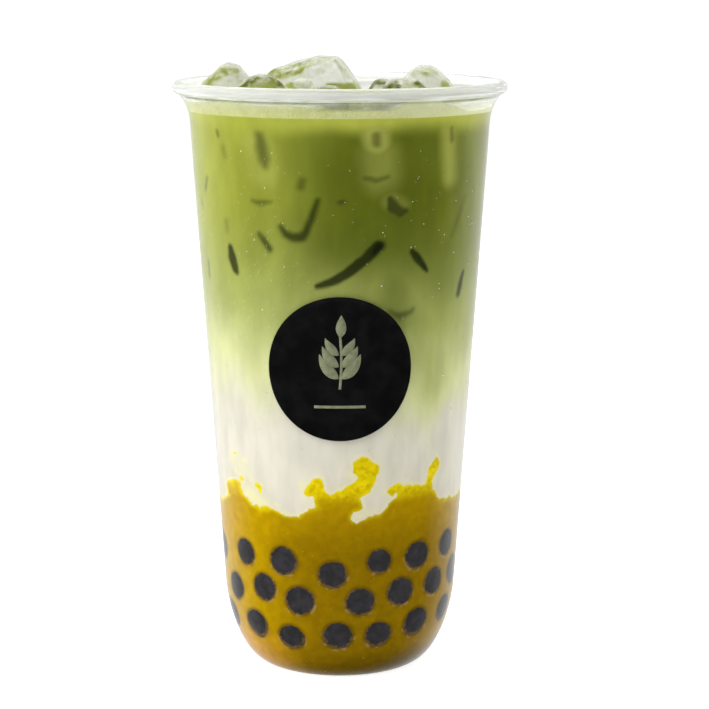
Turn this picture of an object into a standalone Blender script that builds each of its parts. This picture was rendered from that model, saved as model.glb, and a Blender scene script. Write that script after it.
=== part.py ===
"""Iced matcha latte in a tall clear cup, layered over milk, fruit puree and tapioca pearls.

Metres, +Z up. The origin is the middle of the cup's base, and the printed disc faces -Y.
Bearings are in degrees round the cup's axis, 0 facing -Y and 90 facing +X.
"""

import math
import random

import bmesh
import bpy
from mathutils import Matrix, Vector

MM = 0.001

# The cup, an injection-moulded 700 ml tumbler with a 95 mm rim
CUP_HEIGHT = 168.7 * MM
RIM_RADIUS = 47.5 * MM
RIM_HALF_WIDTH = 1.6 * MM
RIM_HALF_HEIGHT = 1.8 * MM
WALL = 0.9 * MM
WALL_RADIUS_AT_RIM = 43.4 * MM
WALL_TAPER = 0.0678
FLARE_DEPTH = 12.0 * MM
FLARE_END = 4.2 * MM
FLARE_OUT = 2.2 * MM
FLARE_BEND = 2.2
CORNER_HEIGHT = 24.4 * MM
CORNER_BEND_OUT = 1.05
CORNER_BEND_UP = 1.27
CORNER_STEPS = 5
BASE_RADIUS = 21.8 * MM
RECESS_RADIUS = 16.5 * MM
RECESS_DEPTH = 0.5 * MM
FLOOR_TOP = 1.4 * MM
CUP_SIDES = 36

# The layers of the drink
GAP = 0.3 * MM
LAYER_SIDES = 60
TONGUE_SHARES = (1, 0.89, 0.76)
FINGER_SHARES = (1, 0.8)
FROTH_SHARES = (1, 0.84)
PUREE_LEVEL = 50.0 * MM
MILK_LEVEL = 84.0 * MM
LIQUID_LEVEL = 160.7 * MM
FOAM_LEAST = 0.7 * MM
TONGUE_REACH = 9.0 * MM

# Tongues of puree that climb the wall: bearing, half width in degrees, rise
PUREE_TONGUES = (
    (-76, 5, -1.5 * MM),
    (-57, 8, 5.5 * MM),
    (-33, 5, 2.0 * MM),
    (-9, 4, 9.0 * MM),
    (4, 5, 7.0 * MM),
    (12, 4, 13.0 * MM),
    (32, 9, 6.0 * MM),
    (47, 4, 12.5 * MM),
)
# Fingers of matcha that sink into the milk: bearing, half width in degrees, rise
MATCHA_FINGERS = (
    (-68, 9, 4.0 * MM),
    (-40, 8, -3.0 * MM),
    (0, 14, 3.5 * MM),
    (43, 8, -10.0 * MM),
    (62, 7, 3.0 * MM),
)
# Froth that stands against the wall: bearing, half width in degrees, thickness
FROTH_BANKS = (
    (-80, 24, 2.2 * MM),
    (-42, 18, 2.0 * MM),
    (-14, 14, 2.1 * MM),
    (5, 12, 1.0 * MM),
    (30, 11, 4.3 * MM),
    (44, 7, 1.2 * MM),
    (88, 12, 1.8 * MM),
)
BACK_START = 84
BACK_END = 280

# Tapioca pearls pressed against the wall: bearing and height of each that faces the front
PEARL_RADIUS = 4.5 * MM
PEARL_FACET = 3.95 * MM
PEARL_SIDES = 8
PEARL_BACK_STEP = 27
FRONT_PEARLS = (
    ((-80, 35.0), (-52, 36.5), (-28, 36.1), (-3.5, 33.1), (19, 36.5), (40, 36.8), (63, 37.8)),
    ((-63, 24.9), (-40, 27.3), (-20, 24.9), (10, 25.0), (31, 26.9), (53, 27.6), (74, 28.4)),
    ((-74, 15.1), (-48, 15.3), (-26, 13.1), (-1, 14.4), (20, 14.3), (42, 16.5), (66, 17.6)),
)

# The round print on the wall
LABEL_RADIUS = 20.2 * MM
LABEL_HEIGHT = 92.3 * MM
LABEL_THICKNESS = 0.3 * MM
LABEL_GAP = 0.3 * MM
LABEL_SIDES = 23
LABEL_SHARES = (0.35, 0.68, 1.0)

# Half-melted ice at the top: middle and size in mm, tilt towards -X and turn in degrees
ICE_BLOCKS = {
    "ice_left": ((-30.5, -0.5, 163.0), (16, 15, 20), 38, 8),
    "ice_tall": ((-8.5, 13.5, 161.5), (29, 20, 25), 21, -6),
    "ice_front_left": ((-20.0, -16.5, 161.5), (15, 14, 20), 33, 4),
    "ice_pebble": ((-10.5, -2.5, 164.0), (9, 8, 13), 12, 30),
    "ice_front": ((-5.0, -26.0, 159.0), (14, 13, 17), 10, 8),
    "ice_right": ((24.5, 8.0, 162.5), (19, 21, 23), -25, -12),
    "ice_small": ((11.5, -7.5, 161.0), (9, 10, 15), -15, 30),
    "ice_front_right": ((19.0, -22.0, 161.0), (16, 15, 20), 18, 15),
    "ice_back": ((0.0, 33.0, 157.0), (19, 12, 19), 15, -8),
}
ICE_JITTER = 0.12
ICE_ROUNDING = 0.3


def clear_scene():
    for obj in list(bpy.data.objects):
        bpy.data.objects.remove(obj)


def make_material(name, colour, roughness, transmission=0.0):
    material = bpy.data.materials.new(name)
    material.use_nodes = True
    shader = material.node_tree.nodes["Principled BSDF"]
    shader.inputs["Base Color"].default_value = (*colour, 1)
    shader.inputs["Roughness"].default_value = roughness
    shader.inputs["Transmission Weight"].default_value = transmission
    return material


def around(bearing, radius, height):
    """The point at a bearing in degrees, a distance from the axis and a height."""
    angle = math.radians(bearing)
    return Vector((radius * math.sin(angle), -radius * math.cos(angle), height))


def turn_between(bearing, other):
    """How far one bearing is from another, in degrees, from -180 to 180."""
    return (bearing - other + 180) % 360 - 180


def add_object(name, mesh, material):
    mesh.materials.append(material)
    obj = bpy.data.objects.new(name, mesh)
    bpy.context.scene.collection.objects.link(obj)
    return obj


def add_split_quad(shape, *corners):
    """Two triangles that share the lower diagonal, so that surfaces a gap apart fold alike."""
    a, b, c, d = corners
    if a.co.z + c.co.z > b.co.z + d.co.z:
        a, b, c, d = b, c, d, a
    shape.faces.new((a, b, c))
    shape.faces.new((a, c, d))


def add_skin(name, rings, low_pole, high_pole, material, sharp=35):
    """A closed body whose skin runs from a low pole over the rings to a high pole."""
    shape = bmesh.new()
    rows = [[shape.verts.new(point) for point in ring] for ring in rings]
    low, high = shape.verts.new(low_pole), shape.verts.new(high_pole)
    count = len(rows[0])
    for i in range(count):
        j = (i + 1) % count
        shape.faces.new((low, rows[0][j], rows[0][i]))
        shape.faces.new((high, rows[-1][i], rows[-1][j]))
        for below, above in zip(rows, rows[1:]):
            add_split_quad(shape, below[i], below[j], above[j], above[i])
    bmesh.ops.recalc_face_normals(shape, faces=shape.faces)
    mesh = bpy.data.meshes.new(name)
    shape.to_mesh(mesh)
    shape.free()
    mesh.shade_smooth()
    mesh.set_sharp_from_angle(angle=math.radians(sharp))
    return add_object(name, mesh, material)


def section_radius(height, floor, base, inset):
    """Radius of a turned wall: a rounded corner above the floor, a straight taper, then a flare."""
    straight = WALL_RADIUS_AT_RIM - WALL_TAPER * (CUP_HEIGHT - max(height, CORNER_HEIGHT))
    if height < CORNER_HEIGHT:
        rise = max(height - floor, 0.0) / (CORNER_HEIGHT - floor)
        cosine = (1 - rise) ** (1 / CORNER_BEND_UP)
        sine = math.sqrt(1 - cosine**2)
        return base + (straight - inset - base) * sine**CORNER_BEND_OUT
    depth = CUP_HEIGHT - height
    into_flare = max(FLARE_DEPTH - depth, 0.0) / (FLARE_DEPTH - FLARE_END)
    return straight + FLARE_OUT * min(into_flare, 1.0) ** FLARE_BEND - inset


def outer_radius(height):
    return section_radius(height, 0.0, BASE_RADIUS, 0.0)


def inner_radius(height):
    return section_radius(height, FLOOR_TOP, BASE_RADIUS - WALL, WALL)


def fill_radius(height):
    """Radius of what fills the cup, clear of its wall."""
    return section_radius(height, FLOOR_TOP + GAP, BASE_RADIUS - WALL - GAP, WALL + GAP)


def corner_heights(floor):
    """Heights up a rounded corner, closer together where it turns fastest."""
    steps = [(k / CORNER_STEPS) ** 1.7 for k in range(1, CORNER_STEPS + 1)]
    return [floor + (CORNER_HEIGHT - floor) * step for step in steps]


def level_ring(radius, height, sides):
    return [around(360 * k / sides, radius, height) for k in range(sides)]


def make_cup(material):
    profile = [
        (RECESS_RADIUS, RECESS_DEPTH),
        (RECESS_RADIUS + 0.8 * MM, 0.0),
        (BASE_RADIUS, 0.0),
    ]
    flare_heights = [CUP_HEIGHT - FLARE_END - (FLARE_DEPTH - FLARE_END) * part for part in (1, 0.5, 0)]
    walls = corner_heights(0.0) + flare_heights
    profile += [(outer_radius(height), height) for height in walls]
    for angle in range(-110, 171, 40):
        turn = math.radians(angle)
        radius = RIM_RADIUS - RIM_HALF_WIDTH + RIM_HALF_WIDTH * math.cos(turn)
        profile.append((radius, CUP_HEIGHT - RIM_HALF_HEIGHT + RIM_HALF_HEIGHT * math.sin(turn)))
    insides = corner_heights(FLOOR_TOP) + flare_heights
    profile += [(inner_radius(height), height) for height in reversed(insides)]
    profile.append((inner_radius(FLOOR_TOP), FLOOR_TOP))
    rings = [level_ring(radius, height, CUP_SIDES) for radius, height in profile]
    add_skin("cup", rings, (0, 0, RECESS_DEPTH), (0, 0, FLOOR_TOP), material)


def rise_at(bearing, bumps):
    """The sum of rounded bumps at a bearing."""
    return sum(rise * math.exp(-((turn_between(bearing, at) / half) ** 2)) for at, half, rise in bumps)


def back_bumps(seed, step, half, least, most):
    """Bumps round the back of the cup, as uneven as those in front."""
    draw = random.Random(seed)
    bumps = []
    bearing = BACK_START + step / 2
    while bearing < BACK_END:
        bumps.append((bearing, half * draw.uniform(0.7, 1.3), draw.uniform(least, most)))
        bearing += step * draw.uniform(0.75, 1.25)
    return bumps


def fade_inwards(radius, wall):
    """1 at the wall, falling smoothly to 0 at the tongues' reach from it."""
    share = min(max(1 - (wall - radius) / TONGUE_REACH, 0.0), 1.0)
    return share * share * (3 - 2 * share)


def surface_rings(level, bumps, shares, lift=0.0):
    """Rings of an uneven surface inside the cup, at shares of the wall's radius."""
    rings = []
    for share in shares:
        ring = []
        for k in range(LAYER_SIDES):
            bearing = 360 * k / LAYER_SIDES
            wall_height = level + rise_at(bearing, bumps)
            wall = fill_radius(wall_height + lift)
            height = level + (wall_height - level) * fade_inwards(share * wall, wall) + lift
            ring.append(around(bearing, share * wall, height))
        rings.append(ring)
    return rings


def puree_bumps():
    return (*PUREE_TONGUES, *back_bumps(5, 17, 5.5, 0.5 * MM, 10.5 * MM))


def matcha_bumps():
    return (*MATCHA_FINGERS, *back_bumps(8, 26, 9, -6.0 * MM, 4.0 * MM))


def froth_bumps():
    return (*FROTH_BANKS, *back_bumps(3, 22, 11, 0.4 * MM, 3.4 * MM))


def make_puree(material):
    heights = [FLOOR_TOP + GAP, *corner_heights(FLOOR_TOP + GAP)]
    sides = [level_ring(fill_radius(height), height, LAYER_SIDES) for height in heights]
    top = surface_rings(PUREE_LEVEL, puree_bumps(), TONGUE_SHARES)
    return add_skin("puree", sides + top, (0, 0, FLOOR_TOP + GAP), (0, 0, PUREE_LEVEL), material)


def make_milk(material):
    bottom = surface_rings(PUREE_LEVEL, puree_bumps(), TONGUE_SHARES, lift=GAP)
    top = surface_rings(MILK_LEVEL, matcha_bumps(), FINGER_SHARES)
    low_pole, high_pole = (0, 0, PUREE_LEVEL + GAP), (0, 0, MILK_LEVEL)
    return add_skin("milk", bottom[::-1] + top, low_pole, high_pole, material)


def make_matcha(material):
    bottom = surface_rings(MILK_LEVEL, matcha_bumps(), FINGER_SHARES, lift=GAP)
    heights = (CUP_HEIGHT - FLARE_DEPTH, LIQUID_LEVEL)
    sides = [level_ring(fill_radius(height), height, LAYER_SIDES) for height in heights]
    low_pole, high_pole = (0, 0, MILK_LEVEL + GAP), (0, 0, LIQUID_LEVEL)
    return add_skin("matcha", bottom[::-1] + sides, low_pole, high_pole, material)


def make_foam(material):
    floor = LIQUID_LEVEL + GAP
    bottom = [level_ring(fill_radius(floor), floor, LAYER_SIDES)]
    top = surface_rings(floor + FOAM_LEAST, froth_bumps(), FROTH_SHARES)
    return add_skin("foam", bottom + top, (0, 0, floor), (0, 0, floor + FOAM_LEAST), material)


def wall_normal(height):
    """Outward normal of the wall at a height, as its radial and its upward part."""
    step = 0.5 * MM
    slope = (fill_radius(height + step) - fill_radius(height - step)) / (2 * step)
    return Vector((1, -slope)).normalized()


def pearl_rings(bearing, height, radius, margin, reach_out):
    """Rings of a pearl round the wall's normal, from its facet on the wall to its inner end."""
    out, up = wall_normal(height)
    normal = around(bearing, out, up)
    side = around(bearing + 90, 1, 0)
    rise = normal.cross(side)
    touch = around(bearing, fill_radius(height), height)
    facet = PEARL_FACET * radius / PEARL_RADIUS
    depth = math.sqrt(radius**2 - facet**2)
    sections = (
        (facet + margin, -reach_out),
        (radius + margin, depth),
        (0.72 * radius + margin, depth + 0.7 * radius),
    )
    rings = []
    for wide, deep in sections:
        ring = []
        for k in range(PEARL_SIDES):
            turn = 2 * math.pi * k / PEARL_SIDES
            around_axis = side * math.cos(turn) + rise * math.sin(turn)
            ring.append(touch - normal * deep + around_axis * wide)
        rings.append(ring)
    front = touch + normal * reach_out
    back = touch - normal * (depth + radius + margin)
    return rings, front, back


def pressed_to_wall(point):
    """A point moved in to where the wall stops it."""
    across = math.hypot(point.x, point.y)
    share = min(1.0, fill_radius(point.z) / across)
    return Vector((point.x * share, point.y * share, point.z))


def pearl_places():
    """Bearing, height and radius of every pearl: the front ones as seen, the rest in the same rows."""
    draw = random.Random(11)
    places = []
    for row in FRONT_PEARLS:
        seen = [(bearing, height * MM) for bearing, height in row]
        middle = sum(height for _, height in seen) / len(seen)
        start, end = seen[-1][0], seen[0][0] + 360
        hidden = round((end - start) / PEARL_BACK_STEP) - 1
        for k in range(1, hidden + 1):
            bearing = start + (end - start) * k / (hidden + 1) + draw.uniform(-2.5, 2.5)
            seen.append((bearing, middle + draw.uniform(-1.2, 1.2) * MM))
        places += [(bearing, height, PEARL_RADIUS * draw.uniform(0.9, 1.03)) for bearing, height in seen]
    return places


def make_pearls(material, cutter_material):
    """One body for each pearl, and in a hidden collection the pockets that they need."""
    pockets = bpy.data.collections.new("pearl_pockets")
    bpy.context.scene.collection.children.link(pockets)
    pockets.hide_render = True
    for number, (bearing, height, radius) in enumerate(pearl_places(), 1):
        rings, front, back = pearl_rings(bearing, height, radius, 0.0, 0.0)
        rings = [[pressed_to_wall(point) for point in ring] for ring in rings]
        add_skin(f"pearl_{number:02d}", rings, pressed_to_wall(front), back, material, sharp=60)
        rings, front, back = pearl_rings(bearing, height, radius, GAP, 2 * MM)
        pocket = add_skin(f"pocket_{number:02d}", rings, front, back, cutter_material)
        hide_cutter(pocket, pockets)
    return pockets


def hide_cutter(cutter, collection):
    cutter.hide_render = True
    cutter.display_type = "WIRE"
    collection.objects.link(cutter)
    bpy.context.scene.collection.objects.unlink(cutter)


def ice_cage(size, seed):
    """What a melted block is smoothed from: a box with uneven, cut corners."""
    draw = random.Random(seed)
    shape = bmesh.new()
    bmesh.ops.create_cube(shape, size=1.0)
    for corner in shape.verts:
        uneven = Vector(draw.uniform(-ICE_JITTER, ICE_JITTER) for _ in range(3))
        corner.co = Vector(part * side * MM for part, side in zip(corner.co + uneven, size))
    rounding = ICE_ROUNDING * min(size) * MM
    bmesh.ops.bevel(shape, geom=shape.edges, offset=rounding, segments=1, affect="EDGES")
    bmesh.ops.recalc_face_normals(shape, faces=shape.faces)
    mesh = bpy.data.meshes.new("ice")
    shape.to_mesh(mesh)
    shape.free()
    mesh.shade_smooth()
    return mesh


def add_smoothing(obj):
    smooth = obj.modifiers.new("melted", "SUBSURF")
    smooth.levels = 1
    smooth.render_levels = 1


def make_ice(material, cutter_material):
    """The blocks that stand out of the drink, and in a hidden collection the pockets that they need."""
    pockets = bpy.data.collections.new("ice_pockets")
    bpy.context.scene.collection.children.link(pockets)
    pockets.hide_render = True
    for seed, (name, (middle, size, tilt, turn)) in enumerate(ICE_BLOCKS.items()):
        lean = Matrix.Rotation(math.radians(-tilt), 4, "Y")
        place = Matrix.Translation(Vector(middle) * MM) @ Matrix.Rotation(math.radians(turn), 4, "Z") @ lean
        block = add_object(name, ice_cage(size, seed), material)
        block.matrix_world = place
        add_smoothing(block)
        pocket = add_object(f"{name}_pocket", ice_cage(size, seed), cutter_material)
        pocket.matrix_world = place
        add_smoothing(pocket)
        clearance = pocket.modifiers.new("clearance", "DISPLACE")
        clearance.strength = GAP
        clearance.mid_level = 0.0
        hide_cutter(pocket, pockets)
    return pockets


def cut_pockets(obj, pockets):
    cut = obj.modifiers.new("pockets", "BOOLEAN")
    cut.operation = "DIFFERENCE"
    cut.operand_type = "COLLECTION"
    cut.collection = pockets
    cut.solver = "EXACT"


def make_label(material):
    """A thin round print wrapped on the front of the wall."""
    inside = [(share, 0.0) for share in LABEL_SHARES]
    outside = [(share, LABEL_THICKNESS) for share in reversed(LABEL_SHARES)]
    rings = []
    for share, out in inside + outside:
        ring = []
        for k in range(LABEL_SIDES):
            turn = 2 * math.pi * k / LABEL_SIDES
            ring.append(on_label(share * LABEL_RADIUS * math.cos(turn), share * LABEL_RADIUS * math.sin(turn), out))
        rings.append(ring)
    add_skin("label", rings, on_label(0, 0, 0), on_label(0, 0, LABEL_THICKNESS), material)


def on_label(across, up, out):
    height = LABEL_HEIGHT + up
    wall = outer_radius(height)
    return around(math.degrees(across / wall), wall + LABEL_GAP + out, height)


def main():
    clear_scene()
    clear_plastic = make_material("clear_plastic", (0.95, 0.96, 0.95), 0.05, transmission=1.0)
    black_print = make_material("black_print", (0.012, 0.012, 0.013), 0.45)
    matcha_green = make_material("matcha_green", (0.28, 0.36, 0.045), 0.3)
    milk_white = make_material("milk_white", (0.84, 0.80, 0.70), 0.3)
    puree_yellow = make_material("puree_yellow", (0.66, 0.45, 0.01), 0.35)
    pale_froth = make_material("pale_froth", (0.62, 0.65, 0.32), 0.5)
    pearl_black = make_material("pearl_black", (0.022, 0.018, 0.020), 0.2)
    wet_ice = make_material("wet_ice", (0.88, 0.92, 0.80), 0.08, transmission=0.9)

    make_cup(clear_plastic)
    make_label(black_print)
    puree = make_puree(puree_yellow)
    make_milk(milk_white)
    matcha = make_matcha(matcha_green)
    foam = make_foam(pale_froth)
    cut_pockets(puree, make_pearls(pearl_black, pearl_black))
    ice_pockets = make_ice(wet_ice, wet_ice)
    cut_pockets(matcha, ice_pockets)
    cut_pockets(foam, ice_pockets)


main()
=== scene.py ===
import math
import random

import bmesh
import bpy
import numpy as np
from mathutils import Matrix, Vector, noise
from mathutils.bvhtree import BVHTree


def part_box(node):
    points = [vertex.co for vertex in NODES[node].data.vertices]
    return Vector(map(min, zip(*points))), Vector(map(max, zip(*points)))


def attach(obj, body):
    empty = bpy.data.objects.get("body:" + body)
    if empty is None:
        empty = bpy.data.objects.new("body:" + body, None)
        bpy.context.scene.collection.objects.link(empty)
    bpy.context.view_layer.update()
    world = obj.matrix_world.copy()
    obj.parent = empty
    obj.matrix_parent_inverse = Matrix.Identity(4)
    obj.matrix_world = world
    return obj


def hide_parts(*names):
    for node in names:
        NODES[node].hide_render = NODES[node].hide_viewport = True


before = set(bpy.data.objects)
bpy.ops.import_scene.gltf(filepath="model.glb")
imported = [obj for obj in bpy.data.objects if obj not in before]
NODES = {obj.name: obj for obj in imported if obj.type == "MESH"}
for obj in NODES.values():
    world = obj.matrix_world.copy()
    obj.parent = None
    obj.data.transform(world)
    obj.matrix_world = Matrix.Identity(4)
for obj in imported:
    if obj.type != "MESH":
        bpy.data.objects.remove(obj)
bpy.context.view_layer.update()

MM = 0.001

# Heights and radii read from the frame
CUP_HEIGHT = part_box("cup")[1][2]
RIM_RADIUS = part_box("cup")[1][0]
LIQUID_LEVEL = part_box("matcha")[1][2]
FLOOR_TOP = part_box("puree")[0][2] - 0.3 * MM

# The cup's profile, as the construction has it
RIM_HALF_WIDTH = 1.6 * MM
RIM_HALF_HEIGHT = 1.8 * MM
WALL = 0.9 * MM
WALL_RADIUS_AT_RIM = 43.4 * MM
WALL_TAPER = 0.0678
FLARE_DEPTH = 12.0 * MM
FLARE_END = 4.2 * MM
FLARE_OUT = 2.2 * MM
FLARE_BEND = 2.2
CORNER_HEIGHT = 24.4 * MM
CORNER_BEND_OUT = 1.05
CORNER_BEND_UP = 1.27
BASE_RADIUS = 21.8 * MM
RECESS_RADIUS = 16.5 * MM
RECESS_DEPTH = 0.5 * MM
CUP_SIDES = 192
CORNER_RINGS = 26

# How far the drink reaches into the wall, so that no air shows between them
INTO_WALL = 0.05 * MM
BASE_SKIN = 0.35 * MM
BASE_FILL_START = 6.0 * MM
BASE_FILL_END = 24.0 * MM
FILL_FLOOR = RECESS_DEPTH + 0.12 * MM
LAYER_SIDES = 512
ARC_RADIUS = 37.0 * MM

MILK_LEVEL = 84.0 * MM
PUREE_LEVEL = 50.0 * MM
TONGUE_REACH = 9.0 * MM
SHARP_ANGLE = 50
BLOB_GROWTH = 0.3 * MM
BLOB_BLEND = 0.8 * MM
BACK_START = 84
BACK_END = 280
PUREE_TONGUES = (
    (-76, 5, -1.5 * MM), (-57, 8, 5.5 * MM), (-33, 5, 2.0 * MM), (-9, 4, 9.0 * MM), (4, 5, 7.0 * MM),
    (12, 4, 13.0 * MM), (32, 9, 6.0 * MM), (47, 4, 12.5 * MM),
)
MATCHA_FINGERS = (
    (-68, 9, 4.0 * MM), (-40, 8, -3.0 * MM), (0, 14, 3.5 * MM), (43, 8, -10.0 * MM), (62, 7, 3.0 * MM),
)
FROTH_BANKS = (
    (-80, 24, 2.2 * MM), (-42, 18, 2.0 * MM), (-14, 14, 2.1 * MM), (5, 12, 1.0 * MM), (30, 11, 4.3 * MM),
    (44, 7, 1.2 * MM), (88, 12, 1.8 * MM),
)
FOAM_LEAST = 0.7 * MM
FOAM_GAP = 0.3 * MM


def around(bearing, radius, height):
    """The point at a bearing in degrees, a distance from the axis and a height."""
    angle = math.radians(bearing)
    return Vector((radius * math.sin(angle), -radius * math.cos(angle), height))


def turn_between(bearing, other):
    """How far one bearing is from another, in degrees, from -180 to 180. Takes arrays too."""
    return (bearing - other + 180) % 360 - 180


def section_radius(height, floor, base, inset):
    """Radius of a turned wall: a rounded corner above the floor, a straight taper, then a flare."""
    straight = WALL_RADIUS_AT_RIM - WALL_TAPER * (CUP_HEIGHT - max(height, CORNER_HEIGHT))
    if height < CORNER_HEIGHT:
        rise = max(height - floor, 0.0) / (CORNER_HEIGHT - floor)
        cosine = (1 - rise) ** (1 / CORNER_BEND_UP)
        sine = math.sqrt(max(1 - cosine**2, 0.0))
        return base + (straight - inset - base) * sine**CORNER_BEND_OUT
    depth = CUP_HEIGHT - height
    into_flare = max(FLARE_DEPTH - depth, 0.0) / (FLARE_DEPTH - FLARE_END)
    return straight + FLARE_OUT * min(into_flare, 1.0) ** FLARE_BEND - inset


def outer_radius(height):
    return section_radius(height, 0.0, BASE_RADIUS, 0.0)


def inner_radius(height):
    return section_radius(height, FLOOR_TOP, BASE_RADIUS - WALL, WALL)


def fill_radius(height):
    """Radius of what fills the cup, just into its wall, and further into the rounded corner of its base."""
    share = min(max((height - BASE_FILL_START) / (BASE_FILL_END - BASE_FILL_START), 0.0), 1.0)
    share = share * share * (3 - 2 * share)
    return (outer_radius(height) - BASE_SKIN) * (1 - share) + (inner_radius(height) + INTO_WALL) * share


def smooth_step(low, high, value):
    """0 below low, 1 above high, with a smooth rise between them. Takes arrays too."""
    share = np.clip((value - low) / (high - low), 0.0, 1.0)
    return share * share * (3 - 2 * share)


def bump_at(bearing, at, half):
    """A rounded bump of 1 at one bearing. Takes arrays too."""
    return np.exp(-((turn_between(bearing, at) / half) ** 2))


def rise_at(bearing, bumps):
    return sum(rise * bump_at(bearing, at, half) for at, half, rise in bumps)


def back_bumps(seed, step, half, least, most):
    """Bumps round the back of the cup, the same as the construction's."""
    draw = random.Random(seed)
    bumps = []
    bearing = BACK_START + step / 2
    while bearing < BACK_END:
        bumps.append((bearing, half * draw.uniform(0.7, 1.3), draw.uniform(least, most)))
        bearing += step * draw.uniform(0.75, 1.25)
    return bumps


PUREE_BUMPS = (*PUREE_TONGUES, *back_bumps(5, 17, 5.5, 0.5 * MM, 10.5 * MM))
MATCHA_BUMPS = (*MATCHA_FINGERS, *back_bumps(8, 26, 9, -6.0 * MM, 4.0 * MM))
FROTH_BUMPS = (*FROTH_BANKS, (-44, 24, 0.8 * MM), *back_bumps(3, 22, 11, 0.4 * MM, 3.4 * MM))


def noise_at(points, size, seed, stretch=1.0):
    """Smooth noise from -1 to 1 with features of about this size in millimetres, drawn out in Z."""
    shift = Vector((seed, seed * 1.7, seed * 0.6))
    places = points / (size * MM * np.array((1.0, 1.0, stretch)))
    return np.array([noise.noise(Vector(place_at) + shift) for place_at in places])


def skin_faces(rows, columns):
    """Faces over rings of points, closed at a low pole and a high pole that come after them."""
    here = np.arange(rows * columns).reshape(rows, columns)
    after = np.roll(here, -1, axis=1)
    quads = np.stack([here[:-1], after[:-1], after[1:], here[1:]], axis=-1).reshape(-1, 4)
    low = np.full(columns, rows * columns)
    return [
        *quads.tolist(),
        *np.stack([low, after[0], here[0]], axis=-1).tolist(),
        *np.stack([low + 1, here[-1], after[-1]], axis=-1).tolist(),
    ]


def skin_mesh(name, rings, low_pole, high_pole):
    """A closed mesh whose skin runs from a low pole over the rings to a high pole."""
    rings = np.asarray(rings, float)
    points = np.vstack([rings.reshape(-1, 3), [low_pole, high_pole]])
    mesh = bpy.data.meshes.new(name)
    mesh.from_pydata(points.tolist(), [], skin_faces(*rings.shape[:2]))
    smooth_shade(mesh)
    return mesh


def smooth_shade(mesh):
    mesh.shade_smooth()
    mesh.set_sharp_from_angle(angle=math.radians(SHARP_ANGLE))


def add_object(name, data):
    item = bpy.data.objects.new(name, data)
    bpy.context.scene.collection.objects.link(item)
    return item


def add_piece(name, mesh, material, slot, *nodes):
    """A piece that rides on the root, stands for these nodes and takes its finish from the material. The
    slot is not used.
    """
    mesh.materials.clear()
    mesh.materials.append(material)
    piece = add_object(name, mesh)
    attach(piece, "root")
    if nodes:
        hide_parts(*nodes)
    return piece


def points_of(mesh):
    flat = np.zeros(len(mesh.vertices) * 3)
    mesh.vertices.foreach_get("co", flat)
    return flat.reshape(-1, 3)


def move_points(mesh, points):
    mesh.vertices.foreach_set("co", points.ravel())
    mesh.update()


def swollen(points, amount):
    """The points moved away from their middle by an amount."""
    spread = points - points.mean(axis=0)
    return points + spread / np.linalg.norm(spread, axis=1)[:, None] * amount


def normals_of(mesh):
    normals = np.zeros(len(mesh.vertices) * 3)
    mesh.vertices.foreach_get("normal", normals)
    return normals.reshape(-1, 3)


def paint(mesh, name, values):
    """Stores one number for each point, which the material reads by name."""
    layer = mesh.attributes.new(name, "FLOAT", "POINT")
    layer.data.foreach_set("value", np.asarray(values, np.float32))


def uneven_ring(radii, heights):
    angles = np.radians(np.arange(len(heights)) * 360 / len(heights))
    return np.stack([radii * np.sin(angles), -radii * np.cos(angles), heights], axis=-1)


def level_ring(radius, height, sides):
    return uneven_ring(radius, np.full(sides, height))


# Materials


def srgb(red, green, blue):
    """A colour as screens state it, from 0 to 255, in the linear values that shaders use."""
    shares = [value / 255 for value in (red, green, blue)]
    return tuple(s / 12.92 if s <= 0.04045 else ((s + 0.055) / 1.055) ** 2.4 for s in shares)


MILK = srgb(219, 215, 202)
MATCHA_PALE = srgb(214, 217, 164)
MATCHA = srgb(168, 174, 72)
MATCHA_TOP = srgb(186, 190, 82)
MATCHA_SAGE = srgb(170, 177, 102)
# colours of painted shade on the matcha, higher and lower
MATCHA_SHADED = srgb(98, 108, 26)
MATCHA_SHADED_LOW = srgb(112, 122, 52)
MATCHA_HALO = srgb(168, 172, 84)
ICE_MARK = srgb(28, 35, 13)
PUREE = srgb(194, 159, 2)
# colour of painted shade in the middle of the puree
PUREE_SHADED = srgb(148, 117, 1)
PUREE_TIP = srgb(230, 210, 12)
# colour of the painted shadow at the puree's foot
PUREE_FOOT_SHADE = srgb(84, 66, 1)
PUREE_EDGE = srgb(232, 216, 12)
PUREE_WARM = srgb(224, 160, 24)
PUREE_HALO = srgb(232, 228, 182)
PUREE_FIBRE = srgb(240, 190, 60)
PEARL_SHADE = srgb(84, 62, 14)
FROTH = srgb(208, 211, 150)
FROTH_GREEN = srgb(188, 192, 112)
FROTH_DEEP = srgb(158, 164, 82)
FROTH_PALE = srgb(228, 230, 184)
# colour of the painted light in the hollows the ice stands in
HOLLOW_LIGHT = srgb(246, 248, 238)
ICE_CLEAR = srgb(250, 252, 246)
ICE_FROST = srgb(253, 254, 251)
ICE_VEIN = srgb(212, 217, 204)
ICE_GREEN = srgb(176, 184, 98)
# colour of the painted olive shade on the ice
ICE_OLIVE_SHADE = srgb(108, 116, 30)
PLASTIC = srgb(252, 253, 252)
# colour of the painted shade just under the rim
PLASTIC_SHADE = srgb(172, 178, 152)
PEARL = srgb(26, 24, 28)
PEARL_LIGHT = srgb(44, 41, 48)
PEARL_RIM = srgb(112, 86, 36)
# colour of the painted highlight in a ring under each pearl
PEARL_RING_HIGHLIGHT = srgb(188, 154, 104)
FLOOR_WHITE = srgb(250, 250, 250)
FLOOR_GREY = srgb(246, 246, 246)
PRINT_BLACK = srgb(14, 14, 15)
PRINT_WORN = srgb(26, 26, 27)
SPRIG = srgb(150, 157, 118)
SPRIG_WORN = srgb(176, 180, 148)


def new_material(name, roughness=0.4, specular=0.5):
    material = bpy.data.materials.new(name)
    material.use_nodes = True
    tree = material.node_tree
    shader = tree.nodes["Principled BSDF"]
    feed(shader.inputs["Roughness"], roughness)
    feed(shader.inputs["Specular IOR Level"], specular)
    return material, tree, shader


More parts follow.
